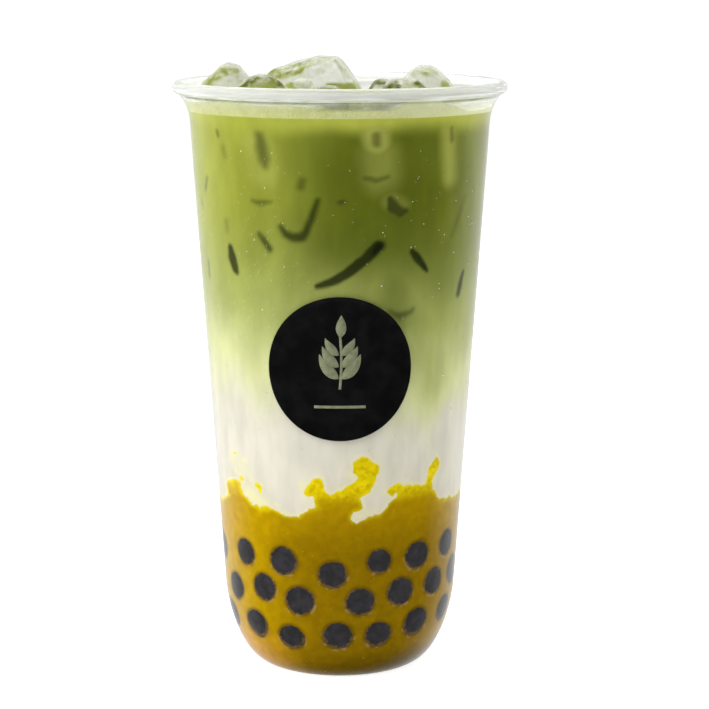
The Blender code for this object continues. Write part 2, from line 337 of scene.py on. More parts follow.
def feed(socket, value):
    """Links an output to the socket, or sets the socket to a number or a colour."""
    if isinstance(value, bpy.types.NodeSocket):
        socket.id_data.links.new(value, socket)
    elif isinstance(value, tuple):
        socket.default_value = (*value, 1) if len(socket.default_value) == 4 else value
    else:
        socket.default_value = value


def add_node(tree, kind, *values, **settings):
    """A new node with these settings and these values for its first inputs."""
    node = tree.nodes.new(f"ShaderNode{kind}")
    for name, setting in settings.items():
        setattr(node, name, setting)
    for socket, value in zip(node.inputs, values):
        feed(socket, value)
    return node


def mix_colour(tree, factor, first, second):
    node = add_node(tree, "Mix", factor, data_type="RGBA")
    feed(node.inputs[6], first)
    feed(node.inputs[7], second)
    return node.outputs[2]


def coated(tree, colour, *coats):
    """The colour under coats, each with the name of its painted amount and its own colour."""
    for name, coat in coats:
        colour = mix_colour(tree, painted(tree, name), colour, coat)
    return colour


def scaled(tree, colour, amount):
    node = add_node(tree, "VectorMath", colour, operation="SCALE")
    feed(node.inputs["Scale"], amount)
    return node.outputs[0]


def calculate(tree, operation, *values):
    return add_node(tree, "Math", *values, operation=operation).outputs[0]


def times(tree, first, second):
    return calculate(tree, "MULTIPLY", first, second)


def greater(tree, first, second):
    return calculate(tree, "MAXIMUM", first, second)


def remap(tree, value, low, high, to_low=0.0, to_high=1.0):
    values = (value, low, high, to_low, to_high)
    return add_node(tree, "MapRange", *values, interpolation_type="SMOOTHSTEP").outputs[0]


def painted(tree, name):
    return add_node(tree, "Attribute", attribute_name=name).outputs["Fac"]


def place(tree):
    return add_node(tree, "TexCoord").outputs["Object"]


def height_of(tree):
    return add_node(tree, "SeparateXYZ", place(tree)).outputs["Z"]


def noise_texture(tree, size, detail=3.0, stretch=1.0):
    """Noise with features of about this size in millimetres, drawn out in Z by stretch."""
    mapping = add_node(tree, "Mapping", place(tree))
    feed(mapping.inputs["Scale"], (1.0, 1.0, 1.0 / stretch))
    node = add_node(tree, "TexNoise", mapping.outputs["Vector"])
    feed(node.inputs["Scale"], 1 / (size * MM))
    feed(node.inputs["Detail"], detail)
    return node.outputs["Fac"]


def cell_texture(tree, size):
    node = add_node(tree, "TexVoronoi", place(tree))
    feed(node.inputs["Scale"], 1 / (size * MM))
    return node.outputs["Distance"]


def add_bump(tree, shader, height, depth):
    node = add_node(tree, "Bump")
    feed(node.inputs["Strength"], 1.0)
    feed(node.inputs["Distance"], depth)
    feed(node.inputs["Height"], height)
    feed(shader.inputs["Normal"], node.outputs["Normal"])


def let_lamps_through(tree, shader):
    """Clear things cast no shadow on what lies behind them."""
    shadow = add_node(tree, "LightPath").outputs["Is Shadow Ray"]
    open_air = add_node(tree, "BsdfTransparent")
    mix = add_node(tree, "MixShader", shadow, shader.outputs[0], open_air.outputs[0])
    feed(tree.nodes["Material Output"].inputs["Surface"], mix.outputs[0])


def band_of(tree, value, low, high, soft):
    """A soft-edged band of a value, from 0 outside to 1 inside."""
    rise = remap(tree, value, low - soft, low + soft)
    fall = remap(tree, value, high - soft, high + soft, 1.0, 0.0)
    return times(tree, rise, fall)


def clear_plastic():
    """Moulded plastic, a little hazy in the thick rim, with painted shade just under the rim, strongest at
    the front, standing in for the rim's shadow and the drink's dark reflection, and hazier at the front of
    the rim as a painted highlight.
    """
    material, tree, shader = new_material("clear_plastic", roughness=0.03)
    split = add_node(tree, "SeparateXYZ", place(tree))
    height = split.outputs["Z"]
    under = band_of(tree, height, CUP_HEIGHT - 4.2 * MM, CUP_HEIGHT - 2.75 * MM, 0.3 * MM)
    dip = band_of(tree, height, CUP_HEIGHT - 5.9 * MM, CUP_HEIGHT - 4.0 * MM, 0.5 * MM)
    middle = band_of(tree, split.outputs["X"], -5.5 * MM, 14.5 * MM, 3 * MM)
    front = remap(tree, split.outputs["Y"], -20 * MM, 15 * MM, 1.0, 0.25)
    dip = times(tree, times(tree, dip, middle), 0.95)
    uneven = remap(tree, noise_texture(tree, 7, 3.0), 0.3, 0.7, 0.6, 1.0)
    # painted shade under the rim, darkest at the front: the rim's shadow and the drink's dark reflection
    rim_shade = times(tree, greater(tree, under, dip), uneven)
    rim_shade = times(tree, rim_shade, front)
    feed(shader.inputs["Base Color"], mix_colour(tree, rim_shade, PLASTIC, PLASTIC_SHADE))
    feed(shader.inputs["IOR"], 1.47)
    clear = remap(tree, height, CUP_HEIGHT - 8 * MM, CUP_HEIGHT - 3 * MM, 1.0, 0.7)
    # haze at the front of the rim that lightens it there, as a painted highlight
    highlight_haze = band_of(tree, height, CUP_HEIGHT - 2.5 * MM, CUP_HEIGHT - 1.5 * MM, 0.3 * MM)
    highlight_haze = times(tree, highlight_haze, times(tree, front, 0.35))
    clear = calculate(tree, "SUBTRACT", clear, highlight_haze)
    feed(shader.inputs["Transmission Weight"], clear)
    feed(shader.inputs["Roughness"], remap(tree, noise_texture(tree, 8), 0.3, 0.7, 0.02, 0.05))
    let_lamps_through(tree, shader)
    return material


def drink_colour(tree):
    """The colour of the drink: milk that fades up into matcha, with painted shade, painted light in the
    ice's hollows, and ice marks.
    """
    green = painted(tree, "green")
    light = mix_colour(tree, remap(tree, green, 0.0, 0.5), MILK, MATCHA_PALE)
    low = remap(tree, height_of(tree), 106 * MM, 138 * MM, 1.0, 0.0)
    full = mix_colour(tree, low, MATCHA, MATCHA_SAGE)
    light = mix_colour(tree, remap(tree, green, 0.35, 1.0), light, full)
    # the shaded matcha colours, laid on where painted shade lies
    dark_shade = mix_colour(tree, low, MATCHA_SHADED, MATCHA_SHADED_LOW)
    painted_shade = mix_colour(tree, remap(tree, green, 0.2, 0.9), MILK, dark_shade)
    colour = coated(
        tree, light, ("top", MATCHA_TOP), ("painted_shade", painted_shade), ("halo", MATCHA_HALO), ("mark", ICE_MARK),
        ("hollow_light", HOLLOW_LIGHT),
    )
    cloud = remap(tree, noise_texture(tree, 5, 4.0, 3.0), 0.3, 0.7, 0.93, 1.06)
    return scaled(tree, colour, cloud)


def puree_colour(tree):
    """The colour of the puree, paler at its edge, with painted shade in the middle, a painted shadow at its
    foot, painted shade and a painted highlight round the pearls, and fibres.
    """
    edge = painted(tree, "edge")
    colour = mix_colour(tree, remap(tree, edge, 0.0, 1.4 * MM), PUREE_EDGE, PUREE)
    mottle = remap(tree, noise_texture(tree, 1.4, 4.0), 0.35, 0.6, 0.45, 1.0)
    tip = times(tree, remap(tree, height_of(tree), 52.5 * MM, 58 * MM), mottle)
    # painted shade in the middle of the puree
    colour = coated(tree, colour, ("puree_shade", PUREE_SHADED))
    colour = mix_colour(tree, tip, colour, PUREE_TIP)
    # warm tone, painted shadow at the foot, and painted shade round the pearls
    coats = (("warm", PUREE_WARM), ("foot", PUREE_FOOT_SHADE), ("pearl_shade", PEARL_SHADE))
    colour = coated(tree, colour, *coats)
    broken = remap(tree, noise_texture(tree, 2.2), 0.45, 0.62)
    # painted highlight, broken, in a ring under each pearl
    ring = times(tree, painted(tree, "pearl_ring_highlight"), broken)
    colour = mix_colour(tree, ring, colour, PEARL_RING_HIGHLIGHT)
    fibre = remap(tree, noise_texture(tree, 2.6, 6.0), 0.3, 0.72, 0.9, 1.1)
    speck = remap(tree, noise_texture(tree, 0.9, 2.0), 0.70, 0.76, 0.0, 0.4)
    return mix_colour(tree, speck, scaled(tree, colour, fibre), PUREE_FIBRE)


def drink_material(name):
    """One of the layers, which shows drink above the puree's edge and puree below it."""
    material, tree, shader = new_material(name, roughness=0.35, specular=0.0)
    wander = calculate(tree, "SUBTRACT", noise_texture(tree, 1.1, 4.0), 0.5)
    edge = calculate(tree, "ADD", painted(tree, "edge"), times(tree, wander, 1.6 * MM))
    halo = greater(tree, remap(tree, edge, -1.3 * MM, 0.0, 0.0, 0.6), painted(tree, "haze"))
    colour = mix_colour(tree, halo, drink_colour(tree), PUREE_HALO)
    colour = mix_colour(tree, remap(tree, edge, -0.15 * MM, 0.2 * MM), colour, puree_colour(tree))
    feed(shader.inputs["Base Color"], colour)
    return material


def froth_material():
    """Fine froth: small bubbles with paler rims over a green that comes and goes."""
    material, tree, shader = new_material("pale_froth", roughness=0.45, specular=0.35)
    bubbles = cell_texture(tree, 0.8)
    small = cell_texture(tree, 0.4)
    tint = remap(tree, noise_texture(tree, 5, 5.0), 0.35, 0.7, 0.0, 0.75)
    colour = mix_colour(tree, tint, FROTH, FROTH_GREEN)
    colour = mix_colour(tree, remap(tree, bubbles, 0.0, 0.4, 0.4, 0.0), colour, FROTH_DEEP)
    colour = mix_colour(tree, remap(tree, small, 0.35, 0.75, 0.0, 0.35), colour, FROTH_PALE)
    colour = mix_colour(tree, times(tree, painted(tree, "pale"), 0.8), colour, FROTH_PALE)
    # painted light on the hollows under the ice
    colour = mix_colour(tree, painted(tree, "hollow_light"), colour, HOLLOW_LIGHT)
    feed(shader.inputs["Base Color"], colour)
    height = calculate(tree, "ADD", bubbles, times(tree, small, 0.5))
    add_bump(tree, shader, height, 0.22 * MM)
    return material


def ice_material():
    """Wet ice: clear, with soft frosted patches, mottled green where the drink clings to it, and painted
    olive shade on the faces not turned to the back.
    """
    material, tree, shader = new_material("wet_ice", roughness=0.04)
    feed(shader.inputs["IOR"], 1.2)
    feed(shader.inputs["Coat Weight"], 0.3)
    feed(shader.inputs["Coat IOR"], 1.33)
    mottle = remap(tree, noise_texture(tree, 1.5, 5.0), 0.36, 0.58, 0.4, 1.0)
    stain = calculate(tree, "MINIMUM", times(tree, painted(tree, "stain"), mottle), 1.0)
    # painted olive shade on the ice, from ICE_SHADES
    dark_shade = times(tree, painted(tree, "dark_shade"), mottle)
    frost = remap(tree, noise_texture(tree, 7, 2.0), 0.35, 0.7, 0.4, 0.68)
    across = calculate(tree, "SUBTRACT", noise_texture(tree, 6, 2.0), 0.5)
    vein = remap(tree, calculate(tree, "ABSOLUTE", across), 0.0, 0.02, 0.5, 0.0)
    colour = mix_colour(tree, frost, ICE_CLEAR, ICE_FROST)
    colour = mix_colour(tree, vein, colour, ICE_VEIN)
    colour = mix_colour(tree, stain, colour, ICE_GREEN)
    feed(shader.inputs["Base Color"], mix_colour(tree, dark_shade, colour, ICE_OLIVE_SHADE))
    cover = greater(tree, times(tree, stain, 0.85), times(tree, dark_shade, 0.9))
    cloudy = greater(tree, cover, frost)
    feed(shader.inputs["Transmission Weight"], calculate(tree, "SUBTRACT", 0.98, cloudy))
    feed(shader.inputs["Subsurface Weight"], 1.0)
    feed(shader.inputs["Subsurface Radius"], (1.0, 1.0, 0.9))
    feed(shader.inputs["Subsurface Scale"], 1.5 * MM)
    add_bump(tree, shader, noise_texture(tree, 2.2, 3.0), 0.12 * MM)
    let_lamps_through(tree, shader)
    return material


def bubble_material(name, tint):
    material, tree, shader = new_material(name, roughness=0.02)
    feed(shader.inputs["Base Color"], tint)
    feed(shader.inputs["IOR"], 1.33)
    feed(shader.inputs["Transmission Weight"], 1)
    feed(shader.inputs["Roughness"], remap(tree, noise_texture(tree, 0.5), 0.3, 0.7, 0.0, 0.06))
    let_lamps_through(tree, shader)
    return material


def pearl_material():
    """Dark boiled tapioca, cloudy and a little lighter in patches."""
    material, tree, shader = new_material("pearl_black", roughness=0.3, specular=0.2)
    cloud = remap(tree, noise_texture(tree, 2.5, 3.0), 0.35, 0.7)
    colour = mix_colour(tree, cloud, PEARL, PEARL_LIGHT)
    ragged = remap(tree, noise_texture(tree, 1.2), 0.3, 0.7, -0.25, 0.25)
    fringe = calculate(tree, "ADD", painted(tree, "fringe"), ragged)
    rim = remap(tree, fringe, 0.55, 1.05, 0.0, 0.85)
    feed(shader.inputs["Base Color"], mix_colour(tree, rim, colour, PEARL_RIM))
    add_bump(tree, shader, noise_texture(tree, 1.5, 3.0), 0.05 * MM)
    return material


def print_material():
    material, tree, shader = new_material("black_print", roughness=0.45, specular=0.15)
    cloud = remap(tree, noise_texture(tree, 5, 4.0), 0.35, 0.7)
    feed(shader.inputs["Base Color"], mix_colour(tree, cloud, PRINT_BLACK, PRINT_WORN))
    feed(shader.inputs["Roughness"], remap(tree, noise_texture(tree, 1.5), 0.3, 0.7, 0.32, 0.5))
    return material


def sprig_material():
    material, tree, shader = new_material("pale_print", roughness=0.45, specular=0.25)
    cloud = remap(tree, noise_texture(tree, 1.2, 4.0), 0.3, 0.75)
    feed(shader.inputs["Base Color"], mix_colour(tree, cloud, SPRIG, SPRIG_WORN))
    return material


# The cup


def corner_heights(floor, count):
    steps = [(k / count) ** 1.9 for k in range(1, count + 1)]
    return [floor + (CORNER_HEIGHT - floor) * step for step in steps]


def make_cup(material):
    profile = [(0.5 * RECESS_RADIUS, RECESS_DEPTH), (RECESS_RADIUS, RECESS_DEPTH)]
    profile += [(RECESS_RADIUS + 0.3 * MM, 0.5 * RECESS_DEPTH), (RECESS_RADIUS + 0.8 * MM, 0.0)]
    profile += [(BASE_RADIUS - 1 * MM, 0.0), (BASE_RADIUS, 0.0)]
    flare_top = CUP_HEIGHT - FLARE_END
    flare_low = CUP_HEIGHT - FLARE_DEPTH
    straight = list(np.linspace(CORNER_HEIGHT, flare_low, 8)[1:])
    flare = list(np.linspace(flare_low, flare_top, 14)[1:])
    outsides = corner_heights(0.0, CORNER_RINGS) + straight + flare
    profile += [(outer_radius(height), height) for height in outsides]
    for angle in np.linspace(-110, 170, 29):
        turn = math.radians(angle)
        radius = RIM_RADIUS - RIM_HALF_WIDTH + RIM_HALF_WIDTH * math.cos(turn)
        profile.append((radius, CUP_HEIGHT - RIM_HALF_HEIGHT + RIM_HALF_HEIGHT * math.sin(turn)))
    insides = corner_heights(FLOOR_TOP, CORNER_RINGS) + straight + flare
    profile += [(inner_radius(height), height) for height in reversed(insides)]
    profile += [(inner_radius(FLOOR_TOP), FLOOR_TOP), (0.5 * inner_radius(FLOOR_TOP), FLOOR_TOP)]
    rings = [level_ring(radius, height, CUP_SIDES) for radius, height in profile]
    mesh = skin_mesh("cup_clear", rings, (0, 0, RECESS_DEPTH), (0, 0, FLOOR_TOP))
    return add_piece("cup_clear", mesh, material, "clear_plastic", "cup")


# The layers of the drink

BEARINGS = np.arange(LAYER_SIDES) * 360 / LAYER_SIDES
RADIUS_TABLE_HEIGHTS = np.linspace(0, CUP_HEIGHT, 1200)
RADIUS_TABLE = np.array([fill_radius(height) for height in RADIUS_TABLE_HEIGHTS])


def fill_radii(heights):
    return np.interp(heights, RADIUS_TABLE_HEIGHTS, RADIUS_TABLE)


def wall_heights(level, bumps):
    return level + rise_at(BEARINGS, bumps)


def fill_rings(height, shares):
    """Level rings at a height, each a share of the way from the axis to the wall."""
    return [level_ring(share * fill_radius(height), height, LAYER_SIDES) for share in shares]


def wall_rows(bottom, top, count):
    """Rings up the wall from one uneven edge to another."""
    rings = []
    for share in np.linspace(0, 1, count):
        heights = bottom + (top - bottom) * share
        rings.append(uneven_ring(fill_radii(heights), heights))
    return rings


def inward_rows(level, heights, shares, ripple=0.0):
    """Rings of an uneven surface from the wall inwards, falling to its level."""
    wall = fill_radii(heights)
    rings = []
    for share in shares:
        inwards = np.clip(1 - (wall - share * wall) / TONGUE_REACH, 0.0, 1.0)
        fade = inwards * inwards * (3 - 2 * inwards)
        ring = uneven_ring(share * wall, level + (heights - level) * fade)
        if ripple:
            ring[:, 2] += ripple * noise_at(ring, 2.2, 3.0) * (share < 0.999)
        rings.append(ring)
    return rings


SURFACE_SHARES = (0.985, 0.965, 0.94, 0.91, 0.88, 0.84, 0.8, 0.76, 0.6, 0.4, 0.2)


def make_puree_mesh():
    edge = wall_heights(PUREE_LEVEL, PUREE_BUMPS)
    foot = fill_rings(FILL_FLOOR, (0.5, 0.98))
    low = [FILL_FLOOR + 0.02 * MM, *corner_heights(FILL_FLOOR, 14)[:5]]
    corner = [level_ring(fill_radius(height), height, LAYER_SIDES) for height in low]
    start = np.full(LAYER_SIDES, low[-1] + 0.3 * MM)
    rings = foot + corner + wall_rows(start, edge, 120) + inward_rows(PUREE_LEVEL, edge, SURFACE_SHARES)
    return skin_mesh("puree_fill", rings, (0, 0, FILL_FLOOR), (0, 0, PUREE_LEVEL))


def make_milk_mesh():
    low = wall_heights(PUREE_LEVEL, PUREE_BUMPS)
    high = wall_heights(MILK_LEVEL, MATCHA_BUMPS)
    rings = inward_rows(PUREE_LEVEL, low, SURFACE_SHARES)[::-1] + wall_rows(low, high, 100)
    rings += inward_rows(MILK_LEVEL, high, SURFACE_SHARES)
    return skin_mesh("milk_fill", rings, (0, 0, PUREE_LEVEL), (0, 0, MILK_LEVEL))


def make_matcha_mesh():
    low = wall_heights(MILK_LEVEL, MATCHA_BUMPS)
    high = np.full(LAYER_SIDES, LIQUID_LEVEL)
    rings = inward_rows(MILK_LEVEL, low, SURFACE_SHARES)[::-1] + wall_rows(low, high, 130)
    rings += fill_rings(LIQUID_LEVEL, (0.97, 0.8, 0.5, 0.2))
    return skin_mesh("matcha_fill", rings, (0, 0, MILK_LEVEL), (0, 0, LIQUID_LEVEL))


def make_foam_mesh():
    level = LIQUID_LEVEL + FOAM_GAP + FOAM_LEAST
    high = wall_heights(level, FROTH_BUMPS)
    high += 0.35 * MM * noise_at(uneven_ring(fill_radii(high), high), 3, 2.0)
    low = np.full(LAYER_SIDES, LIQUID_LEVEL)
    bottom = fill_rings(LIQUID_LEVEL, (0.3, 0.7))
    shares = np.linspace(0.992, 0.06, 58)
    rings = bottom + wall_rows(low, high, 14) + inward_rows(level, high, shares, ripple=0.45 * MM)
    return skin_mesh("froth", rings, (0, 0, LIQUID_LEVEL), (0, 0, level))


# The masks that colour the layers

FRONT_TRAILS = (
    (0.62, 1.3, ((-31.2, 155.7, 1.17), (-30.5, 153.0, 1.64), (-29.4, 149.3, 1.56), (-29.1, 147.6, 0.98))),
    (0.3, 1.2, ((-49.6, 151.7, 0.79), (-48.7, 149.6, 0.79))),
    (0.5, 1.1, ((-14.1, 144.0, 1.02), (-14.9, 142.3, 1.02))),
    (0.55, 0.7, ((-35.7, 137.9, 0.47), (-32.0, 137.5, 0.86), (-27.2, 137.9, 0.39))),
    (
        0.82,
        0.9,
        (
            (-23.7, 131.3, 0.62), (-21.3, 129.4, 1.02), (-18.1, 128.4, 1.32), (-14.9, 128.8, 1.32),
            (-12.9, 130.4, 1.09), (-10.9, 133.7, 0.94), (-8.5, 138.7, 0.70),
        ),
    ),
    (0.75, 0.8, ((-33.1, 128.9, 0.62), (-31.0, 127.1, 1.02), (-28.4, 125.0, 0.94))),
    (0.88, 0.6, ((-49.1, 124.4, 0.94), (-48.3, 121.7, 1.56), (-46.8, 118.7, 1.41), (-45.8, 117.7, 0.79))),
    (
        0.9,
        0.5,
        (
            (-9.0, 115.2, 0.73), (-5.4, 116.0, 1.13), (-0.7, 117.4, 1.34), (4.7, 119.9, 1.41),
            (9.3, 122.3, 1.48), (15.1, 126.3, 1.62),
        ),
    ),
    (1.0, 0.8, ((13.2, 124.4, 1.17), (15.5, 126.3, 1.56))),
    (0.6, 0.6, ((0.0, 138.2, 0.55), (1.5, 138.4, 0.55))),
    (0.75, 0.6, ((19.4, 139.0, 0.86), (20.7, 136.8, 1.72), (23.6, 135.3, 1.41), (26.1, 135.5, 0.79))),
    (0.92, 0.5, ((29.5, 124.2, 0.86), (32.4, 122.1, 1.17), (35.4, 120.0, 0.94), (37.0, 118.8, 0.55))),
    (0.8, 0.6, ((60.3, 116.5, 0.70), (58.4, 113.3, 1.09), (57.3, 110.6, 0.94))),
    (0.6, 1.0, ((20.8, 107.9, 0.55), (25.2, 106.6, 1.02), (29.7, 107.5, 0.70), (31.0, 108.3, 0.39))),
    (0.55, 0.8, ((13.4, 156.1, 1.02), (13.5, 153.9, 1.02))),
    (0.5, 0.6, ((9.6, 144.9, 0.55), (13.8, 144.0, 0.79), (18.3, 145.0, 0.47))),
    (0.5, 0.6, ((46.1, 157.3, 0.47), (46.5, 154.0, 0.55))),
    (0.3, 1.2, ((57.4, 138.0, 0.47), (53.9, 133.0, 0.79), (50.1, 127.4, 0.55))),
    (0.5, 0.8, ((-63.1, 142.7, 0.70), (-64.8, 139.8, 0.70))),
    (0.35, 0.9, ((-70.7, 136.6, 0.58), (-70.1, 134.4, 0.58))),
    (0.5, 0.8, ((-67.8, 118.7, 0.62), (-67.9, 114.8, 0.62))),
    (0.25, 1.1, ((-50.7, 131.3, 0.94), (-50.3, 129.1, 0.79))),
    (0.6, 0.6, ((-52.7, 156.2, 0.58), (-52.2, 155.1, 0.58))),
)
FRONT_HALOS = (
    (-31.0, 149.5, 15.0, 8.0, -78, 0.55, 2.4), (13.5, 154.8, 8.0, 6.6, -73, 0.9, 1.6),
    (15.5, 148.0, 14.0, 9.0, -85, 0.5, 3.5), (45.5, 150.0, 17.0, 4.6, -82, 0.85, 2.4),
    (21.7, 137.6, 8.0, 5.0, -31, 0.35, 1.2), (-48.0, 121.0, 10.0, 5.0, -80, 0.3, 1.6),
)


def stroke_distance(across, up, length, width, lean):
    """How far each point is outside a rounded stroke about the origin, less than 0 inside it."""
    turn = math.radians(lean)
    along = across * math.cos(turn) + up * math.sin(turn)
    aside = -across * math.sin(turn) + up * math.cos(turn)
    half = max(length - width, 0.0) / 2
    return np.hypot(along - np.clip(along, -half, half), aside) - width / 2


def plane_mask(across, up, strokes):
    """How strongly soft strokes cover each point of a plane. A stroke has a place across and up,
    length, width, lean in degrees, strength and softness, in millimetres."""
    mask = np.zeros(len(across))
    for middle, height, length, width, lean, strength, soft in strokes:
        distance = stroke_distance(across - middle, up - height, length, width, lean)
        mask = np.maximum(mask, strength * (1 - smooth_step(-soft, soft, distance)))
    return mask


def trail_mask(bearings, heights, trails):
    """How strongly bent, tapering trails cover each point of the wall. A trail has a strength, a
    softness and its bends, each a bearing, a height and a half width in millimetres."""
    mask = np.zeros(len(bearings))
    per_degree = math.radians(ARC_RADIUS / MM)
    for strength, soft, bends in trails:
        nearest = np.full(len(bearings), 99.0)
        for start, end in zip(bends, bends[1:]):
            across = turn_between(bearings, start[0]) * per_degree
            up = heights / MM - start[1]
            run = (turn_between(end[0], start[0]) * per_degree, end[1] - start[1])
            share = np.clip((across * run[0] + up * run[1]) / (run[0] ** 2 + run[1] ** 2), 0.0, 1.0)
            half = start[2] + (end[2] - start[2]) * share
            nearest = np.minimum(nearest, np.hypot(across - share * run[0], up - share * run[1]) - half)
        mask = np.maximum(mask, strength * (1 - smooth_step(-soft, soft, nearest)))
    return mask


def stroke_mask(bearings, heights, strokes):
    """The same on the wall, where a stroke's place is a bearing and a height."""
    mask = np.zeros(len(bearings))
    for bearing, *shape in strokes:
        across = np.radians(turn_between(bearings, bearing)) * ARC_RADIUS / MM
        mask = np.maximum(mask, plane_mask(across, heights / MM, ((0.0, *shape),)))
    return mask


def back_strokes():
    """Ice marks round the back, as many and as uneven as those in front."""
    draw = random.Random(21)
    strokes = []
    for _ in range(26):
        long = draw.random() < 0.3
        length = draw.uniform(8, 16) if long else draw.uniform(3, 7)
        strokes.append(
            (
                draw.uniform(86, 276),
                draw.uniform(108, 156),
                length,
                draw.uniform(1.6, 3.2),
                draw.uniform(-90, 90),
                draw.uniform(0.3, 0.75),
                draw.uniform(0.7, 1.7),
            )
        )
    return strokes


def shaded_share(bearings, start, full, fall, end):
    """Where painted shade lies on the drink: it sets in between two bearings, then eases off by half."""
    turned = (bearings - start) % 360
    rise = smooth_step(0, full - start, turned)
    ease = 1 - 0.5 * smooth_step(fall - start, end - start, turned)
    close = 1 - smooth_step(end - start, end - start + 25, turned)
    return rise * ease * close


def bearings_of(points):
    return np.degrees(np.arctan2(points[:, 0], -points[:, 1]))


def paint_hollow_light(mesh, least):
    """Paints light on the sides of the hollows that the blocks of ice stand in, as if light came in through
    the ice.
    """
    points = points_of(mesh)
    heights = points[:, 2]
    inside = fill_radii(heights) - np.hypot(points[:, 0], points[:, 1])
    sunk = smooth_step(0.3 * MM, 0.8 * MM, LIQUID_LEVEL - heights)
    upright = 1 - smooth_step(0.35, 0.75, np.abs(normals_of(mesh)[:, 2]))
    inner = smooth_step(0.8 * MM, 1.6 * MM, inside) * (heights > least)
    paint(mesh, "hollow_light", np.maximum(sunk, upright) * inner)


def paint_drink(mesh):
    """Stores on a layer where it is green, the band at its top, painted shade, painted light in the ice's
    hollows, ice marks and their halos.
    """
    points = points_of(mesh)
    bearings = bearings_of(points)
    heights = points[:, 2]
    streaks = noise_at(points, 9, 1.0, 5.0)
    wander = noise_at(points, 14, 4.0, 1.0)
    streaks_fine = noise_at(points, 2.0, 17.0)
    drip = bump_at(bearings, 41, 11)
    sunk = heights + 6 * MM * drip * (1 - smooth_step(82 * MM, 100 * MM, heights))
    sunk = sunk + streaks * 5 * MM + wander * 4 * MM
    side = 0.5 + 0.5 * np.sin(np.radians(bearings + 10))
    paint(mesh, "green", smooth_step((72 - 5 * side) * MM, (124 - 18 * side) * MM, sunk))
    dull = 1 - 0.8 * bump_at(bearings, -30, 28)
    paint(mesh, "top", dull * smooth_step(155.5 * MM, 160 * MM, heights + 0.8 * MM * wander))
    # painted shade: the drink darker in front of the middle and at the back, as if less light came through
    # it there
    spread = bearings + 7 * wander
    painted_shade = shaded_share(spread, -50, 7, 20, 80) + 0.9 * shaded_share(spread, 130, 172, 200, 250)
    painted_shade = painted_shade * (1 - smooth_step(154.5 * MM, 160 * MM, heights + 1.5 * MM * wander))
    painted_shade = painted_shade * smooth_step((105.5 - 7 * side) * MM, (131.5 - 6 * side) * MM, heights + 4 * MM * wander)
    beside = bump_at(bearings, -34, 13) + bump_at(bearings, 120, 16)
    reach = smooth_step(112 * MM, 124 * MM, heights) * (1 - smooth_step(148 * MM, 162 * MM, heights))
    painted_shade = np.maximum(painted_shade, 0.45 * beside * reach)
    shade = bump_at(bearings, 22, 13) * smooth_step(98 * MM, 106 * MM, heights)
    painted_shade = np.maximum(painted_shade, 0.75 * shade * (1 - smooth_step(118 * MM, 132 * MM, heights)))
    paint(mesh, "painted_shade", painted_shade)
    # painted light in the ice's hollows
    paint_hollow_light(mesh, 110 * MM)
    strokes = back_strokes()
    wavy = bearings + 0.35 * noise_at(points, 3.5, 15.0)
    uneven = heights + 0.25 * MM * streaks_fine
    marks = np.maximum(trail_mask(wavy, uneven, FRONT_TRAILS), stroke_mask(wavy, uneven, strokes))
    paint(mesh, "mark", marks)
    halos = [(b, h, l + 4, w + 3, lean, 0.35, 2.0) for b, h, l, w, lean, _, _ in strokes[::3]]
    paint(mesh, "halo", stroke_mask(bearings, heights, (*FRONT_HALOS, *halos)))


PUREE_EDGE_LINE = (
    (-90, 49.0), (-75, 49.0), (-64, 52.2), (-56, 55.0), (-50, 53.6), (-45.6, 51.6), (-40.6, 50.5),
    (-35.7, 51.6), (-30.7, 52.0), (-26.7, 50.5), (-22, 49.3), (-18, 50.2), (-12.6, 52.4), (-4, 54.0),
    (2, 54.6), (8, 55.4), (13, 51.0), (18.0, 50.2), (21.0, 51.6), (24.6, 54.4), (28, 56.0), (33.2, 56.2),
    (39, 55.2), (44, 57.0), (49.6, 54.6), (53.2, 51.6), (60.5, 51.2), (69, 51.0), (90, 52.0),
)
PUREE_BLOBS = (
    (-12.2, 58.4, 5.8, 2.8, 49), (-8.9, 56.3, 8.4, 3.1, -79), (-2.2, 54.7, 9.9, 4.0, 9),
    (6.9, 57.3, 11.1, 4.8, 35), (12.0, 60.4, 6.4, 3.3, 59), (9.2, 65.1, 4.0, 2.0, 33),
    (12.4, 64.3, 6.2, 3.8, -31), (14.7, 62.5, 5.5, 2.4, -89), (8.2, 62.8, 2.5, 1.2, -35),
    (45.8, 58.7, 7.4, 2.5, 80), (48.1, 62.0, 4.9, 2.2, 38), (26.0, 57.2, 4.0, 1.9, 12),
    (-59.0, 54.5, 9.0, 4.0, 14), (-56.1, 65.0, 0.7, 0.5, 10), (-40.2, 56.7, 2.0, 1.3, -30),
    (-51.5, 58.2, 1.4, 0.9, 10), (36.0, 56.0, 10.0, 2.6, -3), (12.0, 49.4, 3.4, 0.9, 20),
)
MILK_BAYS = (
    (10.9, 50.6, 7.6, 3.4, 17), (16.2, 55.6, 7.0, 3.4, 50), (53.5, 56.4, 6.4, 3.0, 68),
    (-29.0, 51.6, 8.4, 2.3, -16), (-17.5, 53.5, 4.5, 2.1, -69),
)
